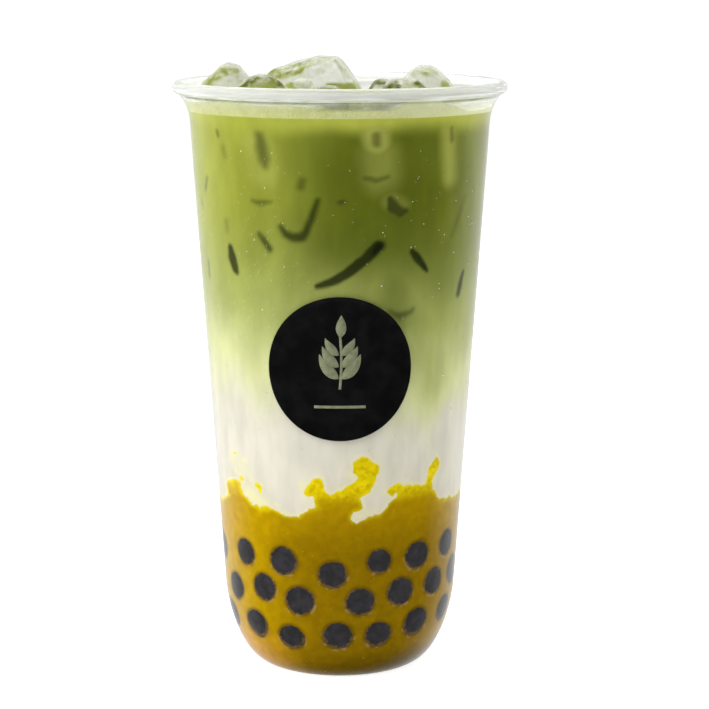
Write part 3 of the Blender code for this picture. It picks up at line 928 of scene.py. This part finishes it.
PALE_HAZE = (
    (-41.7, 52.8, 11.0, 4.6, -25, 0.75, 1.6), (-44.1, 58.5, 9.0, 2.6, -54, 0.4, 1.8),
    (-15.0, 57.4, 6.5, 2.6, -47, 0.7, 1.0), (12.3, 50.6, 7.9, 3.2, -5, 0.55, 1.0),
    (5.8, 61.6, 4.6, 2.0, -41, 0.5, 1.0), (-53.6, 62.1, 10.0, 4.0, -17, 0.4, 2.2),
    (-48.6, 63.8, 2.0, 1.6, 10, 0.8, 0.9), (-55.4, 60.0, 2.2, 1.5, -42, 0.8, 0.9),
    (-57.0, 64.6, 3.0, 1.6, 60, 0.8, 0.9), (26.0, 57.8, 9.0, 2.0, 20, 0.5, 1.0),
    (48.0, 59.5, 9.0, 4.0, 70, 0.45, 1.2),
)


def back_blobs(seed, count, lowest, highest, longest):
    """Rounded strokes round the back, as uneven as those in front."""
    draw = random.Random(seed)
    blobs = []
    for _ in range(count):
        length = draw.uniform(2.5, longest)
        width = draw.uniform(0.3, 0.5) * length + 0.4
        place_up = draw.uniform(lowest, highest)
        blobs.append((draw.uniform(88, 272), place_up, length, width, draw.uniform(-80, 80)))
    return blobs


def blob_depth(across, heights, blob):
    """How far inside a rounded stroke each point is, in metres, less than 0 outside it."""
    bearing, height, *shape = blob
    half_turn = math.pi * ARC_RADIUS
    side = across - math.radians(bearing) * ARC_RADIUS
    side = (side + half_turn) % (2 * half_turn) - half_turn
    return -MM * stroke_distance(side / MM, heights / MM - height, *shape)


def smooth_most(first, second):
    """The greater of two depths, rounded where they meet."""
    meet = np.clip(0.5 + 0.5 * (second - first) / BLOB_BLEND, 0.0, 1.0)
    return first * (1 - meet) + second * meet + BLOB_BLEND * meet * (1 - meet)


def paint_puree_edge(mesh):
    """Stores how far inside the puree each point is, the painted shade in its middle and the painted shadow
    at its foot, and where it is warm.
    """
    points = points_of(mesh)
    bearings = bearings_of(points)
    heights = points[:, 2]
    fine = noise_at(points, 2.6, 7.0)
    coarse = noise_at(points, 6.5, 9.0)
    across = np.radians(bearings) * ARC_RADIUS + 0.9 * MM * fine
    up = heights + 0.7 * MM * noise_at(points, 2.1, 12.0)
    level = PUREE_LEVEL + 1.5 * MM + 0.4 * rise_at(bearings, PUREE_BUMPS)
    level = level + 2.2 * MM * noise_at(points * (1, 1, 0), 16, 23.0)
    at, rise = zip(*PUREE_EDGE_LINE)
    front = smooth_step(86, 76, np.abs(bearings))
    level = level * (1 - front) + np.interp(bearings, at, rise) * MM * front
    edge = (level + (0.5 + 0.6 * (1 - front)) * MM * coarse - up) * 0.75
    for blob in (*PUREE_BLOBS, *back_blobs(61, 16, 51.0, 55.5, 10)):
        edge = smooth_most(edge, blob_depth(across, up, blob) + BLOB_GROWTH)
    for bay in (*MILK_BAYS, *back_blobs(67, 9, 50.5, 54, 6)):
        edge = -smooth_most(-edge, blob_depth(across, up, bay))
    paint(mesh, "edge", edge)
    paint(mesh, "haze", stroke_mask(bearings + 1.2 * fine, heights, PALE_HAZE))
    # painted shade in the middle of the puree, front and back, stronger lower down
    spread = bearings + 6 * coarse
    middle = shaded_share(spread, -57, -9, 40, 84) + 0.9 * shaded_share(spread, 130, 170, 220, 260)
    low = smooth_step(58 * MM, 36 * MM, heights) * 0.65 + 0.35
    paint(mesh, "puree_shade", middle * low)
    # painted shadow at the foot of the puree, strongest towards the right
    turned = 0.55 + 0.45 * np.sin(np.radians(bearings + 10))
    paint(mesh, "foot", turned * (1 - smooth_step(1 * MM, 13 * MM, heights)))
    paint(mesh, "warm", 0.6 * smooth_step(20 * MM, 4 * MM, heights) * (1 - middle))


def paint_pearl_shade(mesh, pearls):
    """Stores painted shade round each pearl on the puree, and a painted highlight in a thin ring just below
    each pearl.
    """
    points = points_of(mesh)
    away = np.full(len(points), 1.0)
    for centre, radius in pearls:
        flat = radius * math.sqrt(1 - PEARL_DEPTH**2)
        reach = np.linalg.norm(points - centre, axis=1)
        away = np.minimum(away, np.sqrt(np.maximum(reach**2 - (PEARL_DEPTH * radius) ** 2, 0)) - flat)
    below = np.zeros(len(points))
    for centre, radius in pearls:
        near = np.linalg.norm(points - centre, axis=1) < 1.5 * radius
        lean = (centre[2] - points[near, 2]) / radius
        below[near] = np.maximum(below[near], smooth_step(-0.5, 0.7, lean))
    # painted highlight in a thin ring on the puree just below each pearl
    ring = 1 - smooth_step(0.1 * MM, 0.6 * MM, np.abs(away - 0.35 * MM))
    paint(mesh, "pearl_shade", 0.7 * (1 - smooth_step(-0.2 * MM, 1.1 * MM, away)))
    paint(mesh, "pearl_ring_highlight", 0.6 * below * ring)


# Pearls

PEARL_PROUD = 0.03 * MM
PEARL_GROWTH = 1.05
PEARL_DEPTH = 0.36
PEARL_RINGS = 30
PEARL_SIDES = 48
PEARL_SIZES = {3: 0.95, 4: 0.91, 5: 0.84, 16: 1.04, 19: 0.95, 30: 1.04, 34: 1.04}


def sphere_through(points):
    """Centre and radius of the sphere that best passes through the points."""
    table = np.hstack([2 * points, np.ones((len(points), 1))])
    answer = np.linalg.lstsq(table, (points**2).sum(axis=1), rcond=None)[0]
    centre = answer[:3]
    return centre, math.sqrt(answer[3] + centre @ centre)


def make_pearl(node, number, material):
    """A rounder pearl where the construction has one, pressed against the wall."""
    centre, radius = sphere_through(points_of(NODES[node].data))
    bearing = math.degrees(math.atan2(centre[0], -centre[1]))
    outwards = np.array(around(bearing, 1.0, 0.0))
    radius *= PEARL_GROWTH * PEARL_SIZES.get(number, 1.0)
    wall = fill_radius(centre[2] - 0.1 * radius)
    centre = centre + (wall - PEARL_DEPTH * radius - math.hypot(centre[0], centre[1])) * outwards
    sideways = np.array(around(bearing + 90, 1.0, 0.0))
    upwards = np.array((0.0, 0.0, 1.0))
    rings = []
    for turn in np.linspace(math.radians(7), math.radians(173), PEARL_RINGS):
        angles = np.radians(np.arange(PEARL_SIDES) * 360 / PEARL_SIDES)
        flat = np.outer(np.cos(angles), sideways) + np.outer(np.sin(angles), upwards)
        rings.append(centre + radius * (math.sin(turn) * flat - math.cos(turn) * outwards))
    mesh = skin_mesh("pearl", rings, centre - radius * outwards, centre + radius * outwards)
    points = points_of(mesh)
    uneven = 0.1 * noise_at(points, 3.4, number * 3.1) + 0.06 * noise_at(points, 1.3, number * 1.9)
    points += (points - centre) * uneven[:, None]
    reach = np.hypot(points[:, 0], points[:, 1])
    most = fill_radii(points[:, 2]) + PEARL_PROUD
    points[:, :2] *= np.minimum(1.0, most / reach)[:, None]
    from_middle = np.linalg.norm(points - (centre + outwards * (most.max() - np.hypot(*centre[:2]))), axis=1)
    paint(mesh, "fringe", smooth_step(0.6 * radius, radius, from_middle))
    move_points(mesh, points)
    add_piece(f"pearl_round_{number:02d}", mesh, material, "pearl_black", node)
    return centre, radius


# Ice, froth and bubbles

ICE_VOXEL = 0.55 * MM
ICE_SOFTENING = 6
CUT_GAP = 0.1 * MM
BUBBLE_COUNT = 130
BUBBLE_REACH = 41 * MM
DROP_COUNT = 760
LAST_COARSE_DROP = 300
DROP_BEARING = -34
DROP_SPREAD = 16
ICE_GROWTH = {
    "ice_front_left": 0.9,
    "ice_tall": 0.5,
    "ice_front": 0.8,
    "ice_small": 0.6,
    "ice_front_right": 0.6,
}
ICE_LIFTS = {
    "ice_tall": ((-18.8, 3.6, 2.0), (-4.0, 4.0, -0.9), (5.5, 4.0, -3.2)),
    "ice_left": ((-36.4, 2.5, -1.4), (-26.5, 3.5, 1.8)),
    "ice_pebble": ((-10.8, 6.0, -1.0),),
    "ice_front_right": ((12.8, 2.5, 1.6), (24.0, 2.5, 0.8)),
    "ice_right": ((30.5, 3.5, -1.5),),
}
ICE_STAINS = {
    "ice_tall": (
        (-15.5, 171.0, 12.0, 3.8, 12, 1.3, 0.9), (-8.5, 173.2, 8.0, 2.0, 20, 1.1, 0.7),
        (-3.5, 174.3, 5.0, 1.2, -10, 0.7, 0.6), (0.8, 171.2, 7.0, 0.8, -50, 0.5, 0.6),
        (-3.4, 172.6, 2.2, 1.4, 0, 0.5, 0.6), (-5.7, 171.4, 2.0, 1.2, 0, 0.35, 0.6),
        (0.8, 166.3, 10.0, 2.2, 0, 2.4, 0.6), (4.8, 166.2, 4.0, 3.0, -30, 1.2, 0.8),
    ),
    "ice_left": (
        (-35.0, 170.2, 9.0, 3.4, 38, 1.2, 0.9), (-30.8, 171.6, 5.5, 2.6, 0, 1.1, 0.8),
        (-28.6, 169.6, 3.4, 1.4, -60, 0.6, 0.7),
    ),
    "ice_front_left": (
        (-21.0, 168.0, 14.0, 6.0, 0, 1.1, 1.5), (-18.0, 168.4, 4.0, 4.0, 0, 1.8, 0.9),
    ),
    "ice_pebble": ((-12.0, 167.6, 9.0, 5.0, 0, 0.5, 1.2), (-14.0, 167.2, 3.0, 3.0, 0, 1.4, 0.8)),
    "ice_front": ((-5.0, 167.0, 12.0, 4.0, 0, 1.0, 1.0),),
    "ice_small": ((12.0, 168.0, 10.0, 1.6, 0, 0.6, 0.6),),
    "ice_front_right": ((18.0, 168.0, 10.0, 4.0, 0, 0.55, 1.0), (22.0, 167.8, 5.0, 1.8, -35, 1.3, 0.6)),
    "ice_right": (
        (25.6, 171.6, 5.5, 3.4, 0, 1.2, 0.8), (21.6, 170.9, 2.6, 1.4, 20, 0.6, 0.6),
        (30.9, 166.8, 4.5, 3.2, -30, 1.7, 0.8),
    ),
}
ICE_SHADES = {
    "ice_tall": ((-20.0, 170.6, 2.4, 1.0, 20, 0.5, 0.5), (-13.0, 170.6, 5.0, 1.0, 10, 0.35, 0.6)),
    "ice_left": ((-36.5, 168.6, 4.0, 0.9, 50, 0.3, 0.5),),
    "ice_front_left": (
        (-25.6, 168.4, 7.0, 1.8, 42, 1.3, 0.6), (-20.6, 170.6, 6.5, 1.6, 3, 1.1, 0.6),
        (-17.0, 169.4, 3.8, 1.5, -55, 1.0, 0.6),
    ),
    "ice_pebble": (
        (-10.4, 170.1, 4.0, 0.9, 0, 0.7, 0.4), (-13.0, 169.0, 3.0, 0.9, 50, 0.7, 0.4),
        (-7.8, 169.0, 3.0, 0.9, -50, 0.7, 0.4),
    ),
    "ice_front": ((-5.5, 167.6, 11.0, 2.6, 0, 2.0, 0.5),),
    "ice_small": (
        (8.6, 167.6, 3.8, 1.5, 60, 1.6, 0.5), (12.0, 168.8, 6.5, 1.7, -3, 1.7, 0.5),
        (15.0, 167.8, 3.4, 1.2, -40, 1.4, 0.4),
    ),
    "ice_front_right": (
        (13.8, 167.6, 6.5, 3.0, 38, 1.8, 0.5), (17.6, 169.6, 4.4, 1.3, 10, 1.2, 0.4),
        (22.4, 168.2, 5.0, 1.4, -38, 1.0, 0.5),
    ),
    "ice_right": ((20.4, 169.6, 5.0, 0.7, 50, 0.35, 0.4), (29.2, 170.0, 6.0, 0.7, -58, 0.35, 0.4)),
}


def settle(piece):
    """Makes the shape that the modifiers give the piece's own."""
    graph = bpy.context.evaluated_depsgraph_get()
    mesh = bpy.data.meshes.new_from_object(piece.evaluated_get(graph))
    piece.modifiers.clear()
    piece.data = mesh
    return piece


def make_ice(node, seed, material):
    """A finer, uneven block of ice where the construction has one."""
    piece = add_piece(f"{node}_wet", NODES[node].data.copy(), material, "wet_ice", node)
    remesh = piece.modifiers.new("remesh", "REMESH")
    remesh.mode = "VOXEL"
    remesh.voxel_size = ICE_VOXEL
    soften = piece.modifiers.new("soften", "SMOOTH")
    soften.factor = 0.5
    soften.iterations = ICE_SOFTENING
    settle(piece)
    mesh = piece.data
    points = points_of(mesh)
    swell = 0.9 * MM * noise_at(points, 8, seed) + 0.12 * MM * noise_at(points, 2.6, seed + 5)
    swell += ICE_GROWTH.get(node, 0.2) * MM
    points = swollen(points, swell[:, None])
    above = np.clip((points[:, 2] - LIQUID_LEVEL) / (points[:, 2].max() - LIQUID_LEVEL), 0.0, 1.0)
    for at, half, lift in ICE_LIFTS.get(node, ()):
        points[:, 2] += lift * MM * above * np.exp(-(((points[:, 0] / MM - at) / half) ** 2))
    mesh.shade_smooth()
    move_points(mesh, points)
    normals = normals_of(mesh)
    ragged = 0.1 * noise_at(points, 2, seed + 3)
    facing = 1 - smooth_step(0.1, 0.5, normals[:, 1])
    facing = facing * (1 - 0.65 * smooth_step(0.7, 0.92, normals[:, 2] + ragged))
    across, up = points[:, 0] / MM, points[:, 2] / MM
    patches = smooth_step(0.0, 0.25, noise_at(points, 5, seed + 9))
    clinging = 0.8 * smooth_step(0.25, 0.8, normals[:, 2]) * patches * (1 - 0.75 * facing)
    stain = np.maximum(clinging, facing * plane_mask(across, up, ICE_STAINS.get(node, ())))
    paint(mesh, "stain", stain)
    # painted olive shade, only on faces not turned to the back
    paint(mesh, "dark_shade", facing * plane_mask(across, up, ICE_SHADES.get(node, ())))
    return piece


def make_cutter(piece):
    """A copy of a block of ice, a hair smaller, that cuts the hollow it stands in."""
    cutter = add_object("cutter", piece.data.copy())
    move_points(cutter.data, swollen(points_of(cutter.data), -CUT_GAP))
    return cutter


def cut_hollows(piece, cutters):
    """Cuts the blocks' hollows into a piece."""
    for cutter in cutters:
        cut = piece.modifiers.new("cut", "BOOLEAN")
        cut.operation = "DIFFERENCE"
        cut.solver = "MANIFOLD"
        cut.object = cutter
    return settle(piece)


def paint_pale(mesh):
    """Marks the bank of froth in front that is the palest."""
    bearings = bearings_of(points_of(mesh))
    paint(mesh, "pale", smooth_step(14, 30, bearings) * (1 - smooth_step(75, 110, bearings)))


def joined_mesh(name, parts):
    """One mesh from several lists of points and faces."""
    points = []
    faces = []
    for part_points, part_faces in parts:
        start = len(points)
        points += part_points
        faces += [tuple(start + index for index in face) for face in part_faces]
    mesh = bpy.data.meshes.new(name)
    mesh.from_pydata(points, [], faces)
    mesh.shade_smooth()
    return mesh


def drop_part(centre, normal, radius, height, sides=10, rows=4):
    """Points and faces of a closed drop that sits on a surface."""
    normal = Vector(normal).normalized()
    side = normal.orthogonal().normalized()
    other = normal.cross(side)
    points = []
    for row in range(rows):
        turn = math.pi / 2 * row / rows
        for k in range(sides):
            angle = 2 * math.pi * k / sides
            flat = (side * math.cos(angle) + other * math.sin(angle)) * radius * math.cos(turn)
            points.append(tuple(Vector(centre) + flat + normal * height * math.sin(turn)))
    points += [tuple(Vector(centre) + normal * height * up) for up in (-0.15, 1)]
    return points, skin_faces(rows, sides)


def froth_bubbles(froth, blocks, material):
    """Clear bubbles on the froth, most of them beside the ice."""
    graph = bpy.context.evaluated_depsgraph_get()
    surface = BVHTree.FromObject(froth, graph)
    ice = [BVHTree.FromObject(block, graph) for block in blocks]
    draw = random.Random(31)
    parts = []
    while len(parts) < BUBBLE_COUNT:
        bearing = draw.uniform(0, 360)
        out = BUBBLE_REACH * math.sqrt(draw.random())
        start = around(bearing, out, CUP_HEIGHT + 20 * MM)
        radius = draw.uniform(0.3, 0.7) * MM if draw.random() < 0.85 else draw.uniform(0.8, 1.3) * MM
        place_at, normal, _, _ = surface.ray_cast(start, Vector((0, 0, -1)))
        if place_at is None or out + radius > fill_radius(place_at.z):
            continue
        covered = any(tree.ray_cast(start, Vector((0, 0, -1)))[0] is not None for tree in ice)
        nearest = min(tree.find_nearest(place_at)[3] for tree in ice)
        if covered or nearest > draw.uniform(1, 9) * MM:
            continue
        parts.append(drop_part(place_at, normal, radius, radius * 0.7))
    return add_piece("froth_bubbles", joined_mesh("froth_bubbles", parts), material, "wet_ice")


def wall_drops(material):
    """Fine drops of condensation on the outside of the cup."""
    draw = random.Random(44)
    parts = []
    for index in range(DROP_COUNT):
        fine = index > LAST_COARSE_DROP
        gathered = fine and index % 3
        bearing = draw.gauss(DROP_BEARING, DROP_SPREAD) if gathered else draw.uniform(0, 360)
        height = draw.triangular(60, 158, 138) * MM
        radius = draw.uniform(0.08, 0.15) * MM if fine else draw.uniform(0.13, 0.26) * MM
        reach = outer_radius(height)
        across = math.radians(turn_between(bearing, 0)) * reach
        if math.hypot(across, height - LABEL_HEIGHT) < LABEL_RADIUS + 1 * MM:
            continue
        foot = around(bearing, reach, height)
        parts.append(drop_part(foot, around(bearing, 1, WALL_TAPER), radius, 0.3 * radius, 8, 3))
    return add_piece("wall_drops", joined_mesh("wall_drops", parts), material, "clear_plastic")


# The label

LABEL_RADIUS = 20.2 * MM
LABEL_HEIGHT = 92.3 * MM
LABEL_THICKNESS = 0.3 * MM
LABEL_GAP = 0.3 * MM
PRINT_RISE = 0.05 * MM
LABEL_SIDES = 120
LEAF_POINTS = 15
SPRIG_LEAN = 58


def on_label(across, up, out):
    """A point on the label, by its distance across, up and out from the label's middle."""
    height = LABEL_HEIGHT + up
    wall = outer_radius(height)
    return around(math.degrees(across / wall), wall + LABEL_GAP + out, height)


def make_label(material):
    shares = [(0.0, k / 12) for k in range(1, 12)]
    edge = [(0.0, 0.995), (0.15, 1.0), (0.85, 1.0), (1.0, 0.995)]
    faces = [(1.0, k / 12) for k in range(11, 0, -1)]
    rings = []
    for out, share in (*shares, *edge, *faces):
        ring = []
        for k in range(LABEL_SIDES):
            angle = 2 * math.pi * k / LABEL_SIDES
            across, up = share * LABEL_RADIUS * math.sin(angle), share * LABEL_RADIUS * math.cos(angle)
            ring.append(tuple(on_label(across, up, out * LABEL_THICKNESS)))
        rings.append(ring)
    back, front = on_label(0, 0, 0), on_label(0, 0, LABEL_THICKNESS)
    mesh = skin_mesh("label_disc", rings, tuple(back), tuple(front))
    turn_outwards(mesh)
    return add_piece("label_disc", mesh, material, "black_print", "label")


def turn_outwards(mesh):
    shape = bmesh.new()
    shape.from_mesh(mesh)
    bmesh.ops.recalc_face_normals(shape, faces=shape.faces)
    shape.to_mesh(mesh)
    shape.free()


def ribbon_part(line, widths):
    """A thin printed band on the label, along a line of points, with a width at each."""
    low, high = LABEL_THICKNESS - 0.03 * MM, LABEL_THICKNESS + PRINT_RISE
    points = []
    for index, (across, up) in enumerate(line):
        before = line[max(index - 1, 0)]
        after = line[min(index + 1, len(line) - 1)]
        along = Vector((after[0] - before[0], after[1] - before[1])).normalized()
        aside = Vector((-along.y, along.x)) * widths[index] / 2
        for out in (low, high):
            points.append(tuple(on_label(across - aside.x, up - aside.y, out)))
            points.append(tuple(on_label(across + aside.x, up + aside.y, out)))
    faces = [(0, 1, 3, 2)]
    for index in range(len(line) - 1):
        a, b = 4 * index, 4 * index + 4
        faces += [(a + 2, a + 3, b + 3, b + 2), (a, b, b + 1, a + 1)]
        faces += [(a, a + 2, b + 2, b), (a + 1, b + 1, b + 3, a + 3)]
    last = 4 * (len(line) - 1)
    faces.append((last, last + 2, last + 3, last + 1))
    return points, faces


def leaf_part(foot, lean, length, width):
    """A pointed leaf from its foot, leaning by an angle from upright."""
    line = []
    widths = []
    for share in np.linspace(0, 1, LEAF_POINTS).tolist():
        turn = math.radians(lean * (1 - 0.35 * share))
        line.append((foot[0] + length * share * math.sin(turn), foot[1] + length * share * math.cos(turn)))
        widths.append(max(width * math.sin(math.pi * share**0.8) ** 0.9, 0.12 * MM))
    return ribbon_part(line, widths)


def make_sprig(material):
    """A plain sprig of leaves with a short bar below it, printed on the label."""
    stem = [(0.4 * MM * math.sin(k / 4), (-5.5 + 1.25 * k) * MM) for k in range(13)]
    parts = [ribbon_part(stem, [0.7 * MM] * len(stem))]
    for index, up in enumerate((-2.5, 0.8, 4.1)):
        length = (8.6 - 1.3 * index) * MM
        for lean in (-SPRIG_LEAN, SPRIG_LEAN):
            foot = (0.3 * MM * math.copysign(1, lean), up * MM)
            parts.append(leaf_part(foot, lean, length, (3.1 - 0.35 * index) * MM))
    parts.append(leaf_part((0.2 * MM, 9 * MM), 3, 6.2 * MM, 2.8 * MM))
    bar = [((-7 + k) * MM, -10.5 * MM) for k in range(15)]
    parts.append(ribbon_part(bar, [0.8 * MM] * len(bar)))
    mesh = joined_mesh("label_sprig", parts)
    turn_outwards(mesh)
    return add_piece("label_sprig", mesh, material, "black_print")


# Floor, light and camera

FLOOR_GLOW = 0.85
LEFT_POWER = 3.2
RIGHT_POWER = 0.9
TOP_POWER = 3.5
EDGE_POWER = 2.0
WORLD_LIGHT = 0.26
WORLD_MIRRORED = 0.03
WORLD_BEHIND = 0.9
WORLD_GLEAM = 1.5
WORLD_SEEN = 1.05
WORLD_BEYOND = 1.35
CAMERA_PLACE = (0, -0.640, 0.20278)
CAMERA_PITCH = 10.484
IMAGE_SIDE = 709
FOCAL_PIXELS = 2244.1
CENTRE_ACROSS = 339.9
CENTRE_DOWN = 372.68
FLOOR_RADII = (0.05, 0.12, 0.3, 0.8, 2.0, 6.0, 20.0, 80.0, 300.0)
FLOOR_SIDES = 48


def make_floor():
    """A very large pale floor that looks white to the camera, apart from a soft shadow."""
    points = [(0, 0, 0)]
    for radius in FLOOR_RADII:
        points += [tuple(around(k * 360 / FLOOR_SIDES, radius, 0)) for k in range(FLOOR_SIDES)]
    after = [1 + (k + 1) % FLOOR_SIDES for k in range(FLOOR_SIDES)]
    faces = [(0, 1 + k, after[k]) for k in range(FLOOR_SIDES)]
    for ring in range(len(FLOOR_RADII) - 1):
        for k in range(FLOOR_SIDES):
            low, low_after = ring * FLOOR_SIDES + 1 + k, ring * FLOOR_SIDES + after[k]
            faces.append((low, low + FLOOR_SIDES, low_after + FLOOR_SIDES, low_after))
    mesh = joined_mesh("floor", [(points, faces)])
    material, tree, shader = new_material("floor_pale", roughness=0.9, specular=0.1)
    cloud = remap(tree, noise_texture(tree, 400), 0.2, 0.8)
    feed(shader.inputs["Base Color"], mix_colour(tree, cloud, FLOOR_WHITE, FLOOR_GREY))
    rays = add_node(tree, "LightPath").outputs
    seen = greater(tree, rays["Is Camera Ray"], rays["Is Transmission Ray"])
    glow = add_node(tree, "Emission", (1, 1, 1), times(tree, seen, FLOOR_GLOW))
    total = add_node(tree, "AddShader", shader.outputs[0], glow.outputs[0])
    feed(tree.nodes["Material Output"].inputs["Surface"], total.outputs[0])
    mesh.materials.append(material)
    floor = add_object("floor", mesh)
    floor.visible_glossy = False


def add_area(name, place_at, aim, size, power, mirrored=False):
    lamp = bpy.data.lights.new(name, "AREA")
    lamp.shape = "RECTANGLE"
    lamp.size, lamp.size_y = size
    lamp.energy = power
    holder = add_object(name, lamp)
    holder.location = place_at
    holder.visible_glossy = mirrored
    holder.rotation_euler = (Vector(aim) - Vector(place_at)).to_track_quat("-Z", "Y").to_euler()


def light_scene():
    """Strong soft light from the left, a weaker one from the right, and some from above and behind."""
    middle = (0, 0, 0.09)
    add_area("left_light", (-0.75, -0.35, 0.35), middle, (0.5, 0.8), LEFT_POWER)
    add_area("right_light", (0.8, -0.25, 0.28), middle, (0.3, 0.7), RIGHT_POWER)
    add_area("top_light", (0.0, 0.25, 0.9), middle, (0.7, 0.7), TOP_POWER, mirrored=True)
    add_area("left_edge_light", (-0.6, 0.75, 0.3), middle, (1.2, 1.6), EDGE_POWER)
    add_area("right_edge_light", (0.6, 0.75, 0.3), middle, (1.2, 1.6), EDGE_POWER)
    world = bpy.data.worlds.new("studio")
    bpy.context.scene.world = world
    world.use_nodes = True
    tree = world.node_tree
    back = tree.nodes["Background"]
    feed(back.inputs["Color"], (1, 1, 1))
    rays = add_node(tree, "LightPath").outputs
    direction = add_node(tree, "SeparateXYZ", add_node(tree, "TexCoord").outputs["Generated"])
    behind = remap(tree, direction.outputs["Y"], -0.1, 0.85, WORLD_MIRRORED, WORLD_BEHIND)
    level = band_of(tree, direction.outputs["Z"], -0.03, 0.1, 0.03)
    ahead = remap(tree, direction.outputs["Y"], -0.75, -0.35, WORLD_GLEAM, 0.0)
    seen = calculate(tree, "MULTIPLY_ADD", level, ahead, behind)
    mirrored = times(tree, rays["Is Glossy Ray"], seen)
    unseen = calculate(tree, "SUBTRACT", 1.0, rays["Is Glossy Ray"])
    strength = calculate(tree, "MULTIPLY_ADD", unseen, WORLD_LIGHT, mirrored)
    for ray, amount in (("Is Camera Ray", WORLD_SEEN), ("Is Transmission Ray", WORLD_BEYOND)):
        shown = times(tree, rays[ray], amount)
        strength = greater(tree, strength, shown)
    feed(back.inputs["Strength"], strength)
    world.cycles.sampling_method = "NONE"


def add_camera():
    lens = bpy.data.cameras.new("camera")
    lens.sensor_width = 36
    lens.lens = lens.sensor_width * FOCAL_PIXELS / IMAGE_SIDE
    lens.shift_x = 0.5 - CENTRE_ACROSS / IMAGE_SIDE
    lens.shift_y = CENTRE_DOWN / IMAGE_SIDE - 0.5
    lens.clip_start = 0.01
    lens.clip_end = 1000
    camera = add_object("camera", lens)
    camera.location = CAMERA_PLACE
    camera.rotation_euler = (math.radians(90 - CAMERA_PITCH), 0, 0)
    bpy.context.scene.camera = camera


# Making it all

add_camera()
make_cup(clear_plastic())

pearl_look = pearl_material()
pearls = [make_pearl(f"pearl_{number:02d}", number, pearl_look) for number in range(1, 43)]

ice_look = ice_material()
ice_nodes = sorted(name for name in NODES if name.startswith("ice_"))
blocks = [make_ice(node, 3.0 + 2.3 * index, ice_look) for index, node in enumerate(ice_nodes)]
cutters = [make_cutter(block) for block in blocks]

puree, milk, matcha = (
    add_piece(f"{node}_fill", make_mesh(), drink_material(slot), slot, node)
    for node, slot, make_mesh in (
        ("puree", "puree_yellow", make_puree_mesh),
        ("milk", "milk_white", make_milk_mesh),
        ("matcha", "matcha_green", make_matcha_mesh),
    )
)
froth = add_piece("froth", make_foam_mesh(), froth_material(), "pale_froth", "foam")
cut_hollows(matcha, cutters)
cut_hollows(froth, cutters)
for cutter in cutters:
    bpy.data.objects.remove(cutter)
for layer in (puree, milk, matcha):
    paint_drink(layer.data)
    paint_puree_edge(layer.data)
    smooth_shade(layer.data)
paint_pearl_shade(puree.data, pearls)
# painted light in the froth's hollows under the ice
paint_hollow_light(froth.data, LIQUID_LEVEL - 20 * MM)
paint_pale(froth.data)
smooth_shade(froth.data)

froth_bubbles(froth, blocks, bubble_material("bubble_clear", (0.97, 0.98, 0.94)))
wall_drops(bubble_material("drop_clear", (0.97, 0.99, 0.97)))
make_label(print_material())
make_sprig(sprig_material())

make_floor()
light_scene()
view = bpy.context.scene.view_settings
view.view_transform = "Standard"
view.look = "None"
bpy.context.scene.cycles.use_denoising = True
bpy.context.scene.cycles.max_bounces = 14
bpy.context.scene.cycles.transmission_bounces = 12
bpy.context.scene.cycles.transparent_max_bounces = 12
